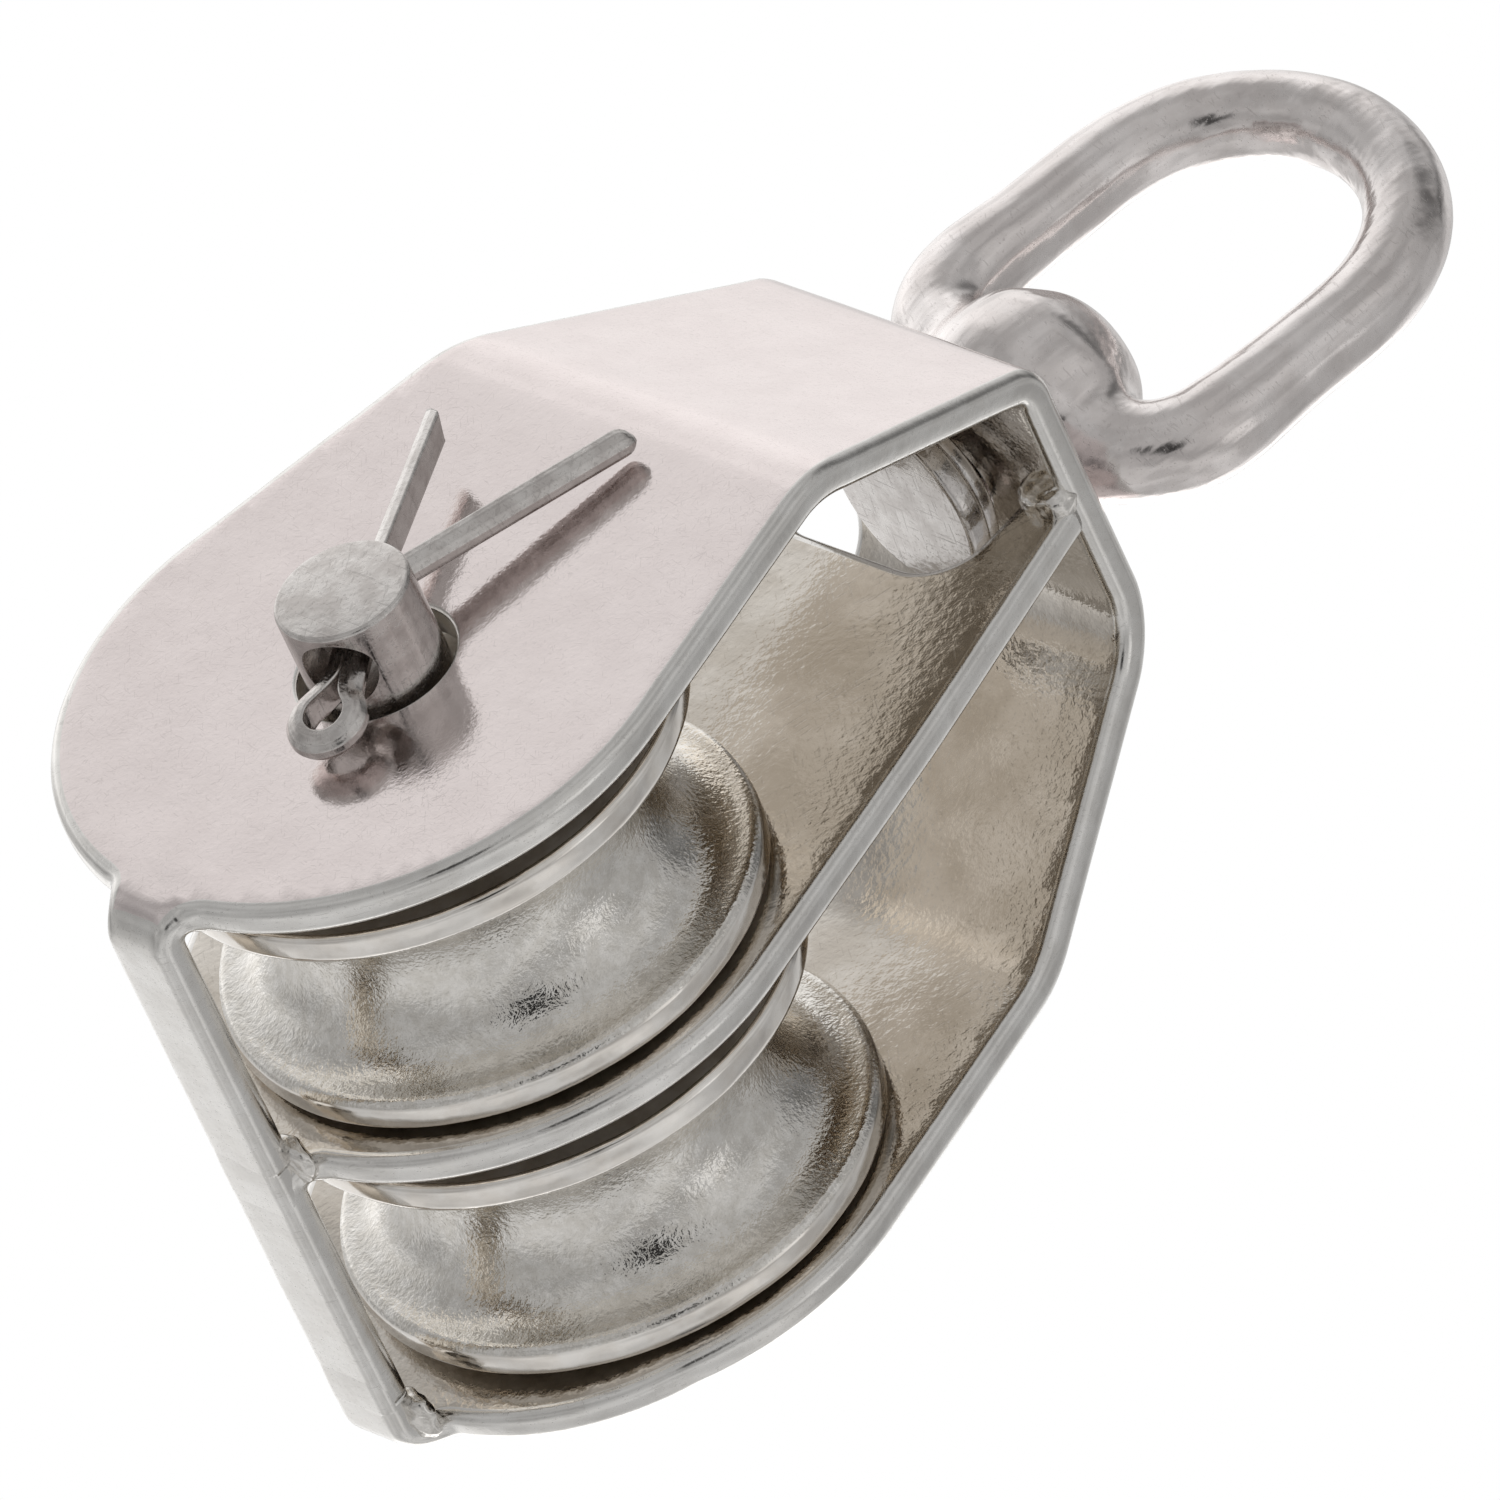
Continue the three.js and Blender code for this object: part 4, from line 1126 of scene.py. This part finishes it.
class Shading:
    """The nodes of a material or of the world, emptied and filled again."""

    def __init__(self, owner, coordinates):
        owner.use_nodes = True
        self.tree = owner.node_tree
        self.tree.nodes.clear()
        self.place = self.node("ShaderNodeTexCoord").outputs[coordinates]

    def node(self, kind, **settings):
        made = self.tree.nodes.new(kind)
        for key, value in settings.items():
            setattr(made, key, value)
        return made

    def link(self, source, target):
        self.tree.links.new(source, target)

    def noise(self, scale, detail=3.0, roughness=0.5, distortion=0.0, place=None):
        texture = self.node("ShaderNodeTexNoise")
        texture.inputs["Scale"].default_value = scale
        texture.inputs["Detail"].default_value = detail
        texture.inputs["Roughness"].default_value = roughness
        texture.inputs["Distortion"].default_value = distortion
        self.link(place or self.place, texture.inputs["Vector"])
        return texture.outputs["Fac"]

    def ranged(self, source, low, high, out_low=0.0, out_high=1.0, kind="SMOOTHSTEP"):
        node = self.node("ShaderNodeMapRange", interpolation_type=kind)
        for name, value in (
            ("From Min", low), ("From Max", high), ("To Min", out_low), ("To Max", out_high),
        ):
            node.inputs[name].default_value = value
        self.link(source, node.inputs["Value"])
        return node.outputs["Result"]

    def math(self, operation, a, b):
        node = self.node("ShaderNodeMath", operation=operation)
        for socket, value in zip(node.inputs, (a, b)):
            if isinstance(value, (int, float)):
                socket.default_value = value
            else:
                self.link(value, socket)
        return node.outputs[0]

    def vector_math(self, operation, source, other=None):
        node = self.node("ShaderNodeVectorMath", operation=operation)
        self.link(source, node.inputs[0])
        if other is not None:
            node.inputs[1].default_value = other
        return node.outputs["Value" if operation in ("DOT_PRODUCT", "LENGTH") else "Vector"]


class Finish(Shading):
    """A bare metal with procedural colour, roughness, scratches and relief."""

    def __init__(self, name, colours, roughness):
        self.material = bpy.data.materials.new(name)
        super().__init__(self.material, "Object")
        output = self.node("ShaderNodeOutputMaterial")
        self.shader = self.node("ShaderNodeBsdfPrincipled")
        self.shader.inputs["Metallic"].default_value = 1.0
        self.link(self.shader.outputs[0], output.inputs[0])
        self.colours = colours
        self.roughness = roughness
        self.relief = None
        self.marks = []

    def stretched(self, turn, along, across):
        """Coordinates turned about the three axes and stretched along the first."""
        node = self.node("ShaderNodeMapping", vector_type="TEXTURE")
        node.inputs["Rotation"].default_value = turn
        node.inputs["Scale"].default_value = (1 / along, 1 / across, 1 / across)
        self.link(self.place, node.inputs["Vector"])
        return node.outputs["Vector"]

    def raise_by(self, height, distance):
        """Another layer of relief, in metres at full height."""
        node = self.node("ShaderNodeBump")
        node.inputs["Distance"].default_value = distance
        self.link(height, node.inputs["Height"])
        if self.relief is not None:
            self.link(self.relief, node.inputs["Normal"])
        self.relief = node.outputs["Normal"]

    def pebbled(self, scale, depth, detail=2.0, roughness=0.5):
        """Relief of soft bumps the same in all directions."""
        self.raise_by(self.noise(scale, detail, roughness), depth)

    def scratch(self, turns, along, across, low, high, depth):
        """Fine scratches in several directions, which also dull the metal."""
        for turn in turns:
            line = self.noise(1.0, 1.0, 0.4, 0.0, self.stretched(turn, along, across))
            mark = self.ranged(line, low, high)
            self.marks.append(mark)
            self.raise_by(mark, -depth)

    def finish(self, patch_scale, worn=0.12, mark_roughness=0.1, mark_dark=0.12):
        """Colour and roughness from broad patches and the scratches."""
        patches = self.noise(patch_scale, 4.0, 0.6)
        patch = self.ranged(patches, 0.35, 0.65)
        marks = None
        for mark in self.marks:
            marks = mark if marks is None else self.math("MAXIMUM", marks, mark)
        mix = self.node("ShaderNodeMix", data_type="RGBA")
        mix.inputs[6].default_value = (*self.colours[0], 1)
        mix.inputs[7].default_value = (*self.colours[1], 1)
        self.link(patch, mix.inputs[0])
        colour = mix.outputs[2]
        rough = self.ranged(patches, 0.3, 0.7, self.roughness, self.roughness + worn)
        if marks is not None:
            dark = self.node("ShaderNodeMix", data_type="RGBA", blend_type="MULTIPLY")
            self.link(self.math("MULTIPLY", marks, mark_dark), dark.inputs[0])
            self.link(colour, dark.inputs[6])
            dark.inputs[7].default_value = (0.25, 0.23, 0.22, 1)
            colour = dark.outputs[2]
            rough = self.math("ADD", rough, self.math("MULTIPLY", marks, mark_roughness))
        self.link(colour, self.shader.inputs["Base Color"])
        self.link(rough, self.shader.inputs["Roughness"])
        if self.relief is not None:
            self.link(self.relief, self.shader.inputs["Normal"])
        return self.material


def satin_sheet():
    finish = Finish("satin_sheet", ((0.82, 0.748, 0.738), (0.855, 0.783, 0.773)), 0.07)
    turns = [(0, angle * DEG, 0) for angle in (12, 48, 83, 121, 158)]
    finish.pebbled(300, 0.00003)
    finish.pebbled(2600, 0.000015, 3.0, 0.6)
    finish.scratch(turns, 900, 9000, 0.68, 0.74, 0.000001)
    return finish.finish(240, 0.03, 0.06, 0.12)


# Inner faces of the strap and both faces of the centre plate, which lie between the sheaves: their darker,
# browner colours are painted shade; the bumps and scratches are the metal's own finish.
def rippled_sheet_painted_shade():
    finish = Finish("rippled_sheet_painted_shade", ((0.58, 0.535, 0.475), (0.72, 0.68, 0.625)), 0.07)
    finish.pebbled(330, 0.00003)
    finish.pebbled(1500, 0.00004, 2.0, 0.6)
    finish.scratch([(0, 40 * DEG, 0), (0, 110 * DEG, 0)], 500, 5200, 0.67, 0.72, 0.000002)
    return finish.finish(160, 0.06)


def polished_edge():
    finish = Finish("polished_edge", ((0.78, 0.765, 0.74), (0.86, 0.85, 0.83)), 0.15)
    finish.pebbled(420, 0.00004)
    finish.pebbled(1600, 0.00001)
    finish.scratch([(0, 50 * DEG, 0), (0, 140 * DEG, 0)], 500, 5200, 0.66, 0.72, 0.000002)
    return finish.finish(300, 0.07)


def cast_sheave():
    finish = Finish("cast_sheave_metal", ((0.73, 0.705, 0.66), (0.85, 0.83, 0.795)), 0.04)
    finish.pebbled(500, 0.00002)
    finish.pebbled(2600, 0.00006, 2.0, 0.6)
    return finish.finish(900, 0.03)


def turned_lip(name, roughness):
    """The sheave's lips and sides, with the fine rings of turning."""
    finish = Finish(name, ((0.84, 0.80, 0.75), (0.93, 0.905, 0.87)), roughness)
    centre = ((np.array(SHEAVE_REST) - BEARING) * MM).tolist()
    across = finish.vector_math("MULTIPLY", finish.vector_math("SUBTRACT", finish.place, centre), (1, 0, 1))
    ring = finish.node("ShaderNodeCombineXYZ")
    finish.link(finish.vector_math("LENGTH", across), ring.inputs[0])
    finish.pebbled(420, 0.00005)
    finish.raise_by(finish.noise(3200, 3.0, 0.6, 0.0, ring.outputs[0]), 0.00005)
    return finish.finish(300, 0.08)


def forged_eye():
    finish = Finish("forged_eye_metal", ((0.78, 0.735, 0.72), (0.90, 0.86, 0.85)), 0.16)
    finish.pebbled(240, 0.00005)
    drawn = finish.noise(1.0, 2.0, 0.5, 0.0, finish.stretched((0, -83 * DEG, 0), 40, 480))
    finish.raise_by(drawn, 0.00016)
    finish.pebbled(1300, 0.000012, 3.0, 0.6)
    finish.scratch([(0, 30 * DEG, 0), (90 * DEG, 0, 40 * DEG)], 500, 4600, 0.66, 0.72, 0.000002)
    return finish.finish(200, 0.06)


def turned_steel():
    finish = Finish("turned_steel_metal", ((0.58, 0.55, 0.53), (0.74, 0.715, 0.695)), 0.12)
    finish.pebbled(600, 0.00003)
    drawn = finish.noise(1.0, 2.0, 0.5, 0.0, finish.stretched((0, 0, 90 * DEG), 50, 1300))
    finish.raise_by(drawn, 0.00003)
    finish.pebbled(2400, 0.00001)
    turns = [(0, 0, 0), (0, 60 * DEG, 20 * DEG), (40 * DEG, 0, 90 * DEG)]
    finish.scratch(turns, 260, 4200, 0.63, 0.71, 0.000004)
    return finish.finish(500, 0.12)


def weld_metal():
    finish = Finish("weld_metal", ((0.66, 0.64, 0.61), (0.86, 0.84, 0.81)), 0.12)
    finish.pebbled(900, 0.00012, 3.0)
    return finish.finish(700)


# ---------------------------------------------------------------------------------------------
# Studio
# ---------------------------------------------------------------------------------------------

def pale_floor():
    """A plain square far below, left out of the metal's reflections."""
    mesh = bpy.data.meshes.new("floor")
    half = FLOOR_SIZE / 2
    sides = ((-1, -1), (1, -1), (1, 1), (-1, 1))
    corners = [(x * half, y * half, FLOOR_HEIGHT) for x, y in sides]
    mesh.from_pydata(corners, [], [(0, 1, 2, 3)])
    floor = bpy.data.objects.new("floor", mesh)
    bpy.context.scene.collection.objects.link(floor)
    material = bpy.data.materials.new("floor_paint")
    material.use_nodes = True
    shader = material.node_tree.nodes["Principled BSDF"]
    shader.inputs["Base Color"].default_value = (0.86, 0.86, 0.86, 1)
    shader.inputs["Roughness"].default_value = 0.9
    shader.inputs["Emission Color"].default_value = (1, 1, 1, 1)
    shader.inputs["Emission Strength"].default_value = FLOOR_GLOW
    mesh.materials.append(material)
    floor.visible_glossy = False
    floor.visible_diffuse = False


def towards(azimuth, elevation):
    """Unit heading: azimuth 0 is -Y, out of the front cheek, and 90 is +X; degrees."""
    a, e = azimuth * DEG, elevation * DEG
    return Vector((math.sin(a) * math.cos(e), -math.cos(a) * math.cos(e), math.sin(e)))


def soft_world():
    """A pale room: white where it is seen directly, softly darker to some sides in reflections."""
    world = bpy.data.worlds.new("soft_room")
    bpy.context.scene.world = world
    shading = Shading(world, "Generated")
    level = ROOM_LEVEL
    for azimuth, elevation, start, end, amount in ROOM_PATCHES:
        nearness = shading.vector_math("DOT_PRODUCT", shading.place, towards(azimuth, elevation))
        limits = [math.cos(angle * DEG) for angle in (start, end)]
        level = shading.math("ADD", shading.ranged(nearness, *limits, 0.0, amount), level)
    uneven = shading.noise(ROOM_UNEVEN_SCALE, 4.0, 0.55)
    gain = shading.ranged(uneven, 0.3, 0.7, 1 - ROOM_UNEVEN, 1 + ROOM_UNEVEN, "LINEAR")
    room = shading.node("ShaderNodeBackground")
    room.inputs["Color"].default_value = ROOM_COLOUR
    shading.link(shading.math("MULTIPLY", level, gain), room.inputs["Strength"])
    backdrop = shading.node("ShaderNodeBackground")
    backdrop.inputs["Color"].default_value = (1, 1, 1, 1)
    seen = shading.node("ShaderNodeLightPath")
    mix = shading.node("ShaderNodeMixShader")
    for i, source in enumerate((seen.outputs["Is Camera Ray"], room.outputs[0], backdrop.outputs[0])):
        shading.link(source, mix.inputs[i])
    shading.link(mix.outputs[0], shading.node("ShaderNodeOutputWorld").inputs[0])


def studio_camera():
    """The photograph's view: from below, to the front right, rolled."""
    back = towards(CAMERA_AZIMUTH, CAMERA_ELEVATION)
    data = bpy.data.cameras.new("camera")
    data.lens = CAMERA_LENS
    data.sensor_width = 36
    data.clip_start = 0.05
    data.clip_end = 60
    camera = bpy.data.objects.new("camera", data)
    camera.location = Vector(CAMERA_TARGET) + back * CAMERA_DISTANCE
    level = (-back).to_track_quat("-Z", "Y").to_matrix()
    camera.rotation_euler = (level @ Matrix.Rotation(CAMERA_ROLL * DEG, 3, "Z")).to_euler()
    bpy.context.scene.collection.objects.link(camera)
    bpy.context.scene.camera = camera


# ---------------------------------------------------------------------------------------------
# Assembly
# ---------------------------------------------------------------------------------------------

def bar_as_edge(points, faces, kinds):
    """The bar and the bends into it are ground all round like the sheet's edges."""
    heights = [np.mean([points[i][2] for i in face]) for face in faces]
    return [1 if height < BAR_FINISH_TOP else kind for height, kind in zip(heights, kinds)]


satin = satin_sheet()
rippled_painted_shade = rippled_sheet_painted_shade()
edge = polished_edge()
cast = cast_sheave()
lip = turned_lip("turned_lip_metal", 0.10)
flank = turned_lip("turned_flank_metal", 0.42)
forged = forged_eye()
steel = turned_steel()
weld = weld_metal()

# The strap's inner faces, on the right of the path, and the whole centre plate take the sheet colour
# darkened as painted shade.
points, faces, kinds = outer_strap()
add_piece("strap_sheet", points, faces, "frame", "polished_sheet", ["outer_strap"],
          [rippled_painted_shade, edge, satin], bar_as_edge(points, faces, kinds))
points, faces, kinds = centre_plate()
add_piece("plate_sheet", points, faces, "frame", "polished_sheet", ["centre_plate"],
          [rippled_painted_shade, edge, rippled_painted_shade], bar_as_edge(points, faces, kinds))

for seed, (node, centre, size) in enumerate(BEADS, FIRST_BEAD_SEED):
    points, faces = weld_bead(centre, size, seed)
    add_piece(node + "_bead", points, faces, "frame", "weld", [node], [weld])
for node, joint, rear_reach in GROUND_WELDS:
    points, faces = ground_weld(joint, joint - GROUND_WELD_REACH, joint + rear_reach)
    add_piece(node + "_ground", points, faces, "frame", "weld", [node], [edge])

for body, side, seed in SHEAVES:
    points, faces, parts = sheave(side, seed)
    add_piece(body + "_wheel", points, faces, body, "cast_sheave", [body], [cast, lip, flank], parts)

drilled_axle(steel)
add_piece("split_pin_wire", *split_pin(), "axle", "turned_steel", ["split_pin"], [steel])

swivel_eye(forged)
points, faces = swivel_pin()
add_piece("swivel_pin_round", swivel_frame(points), faces, "eye", "turned_steel",
          ["swivel_pin"], [steel])
points, faces = swivel_washer()
add_piece("swivel_washer_ring", swivel_frame(points), faces, "eye", "turned_steel",
          ["swivel_washer"], [steel])

pale_floor()
soft_world()
studio_camera()
bpy.context.scene.view_settings.view_transform = "Standard"
bpy.context.scene.cycles.max_bounces = LIGHT_BOUNCES
bpy.context.scene.cycles.glossy_bounces = LIGHT_BOUNCES
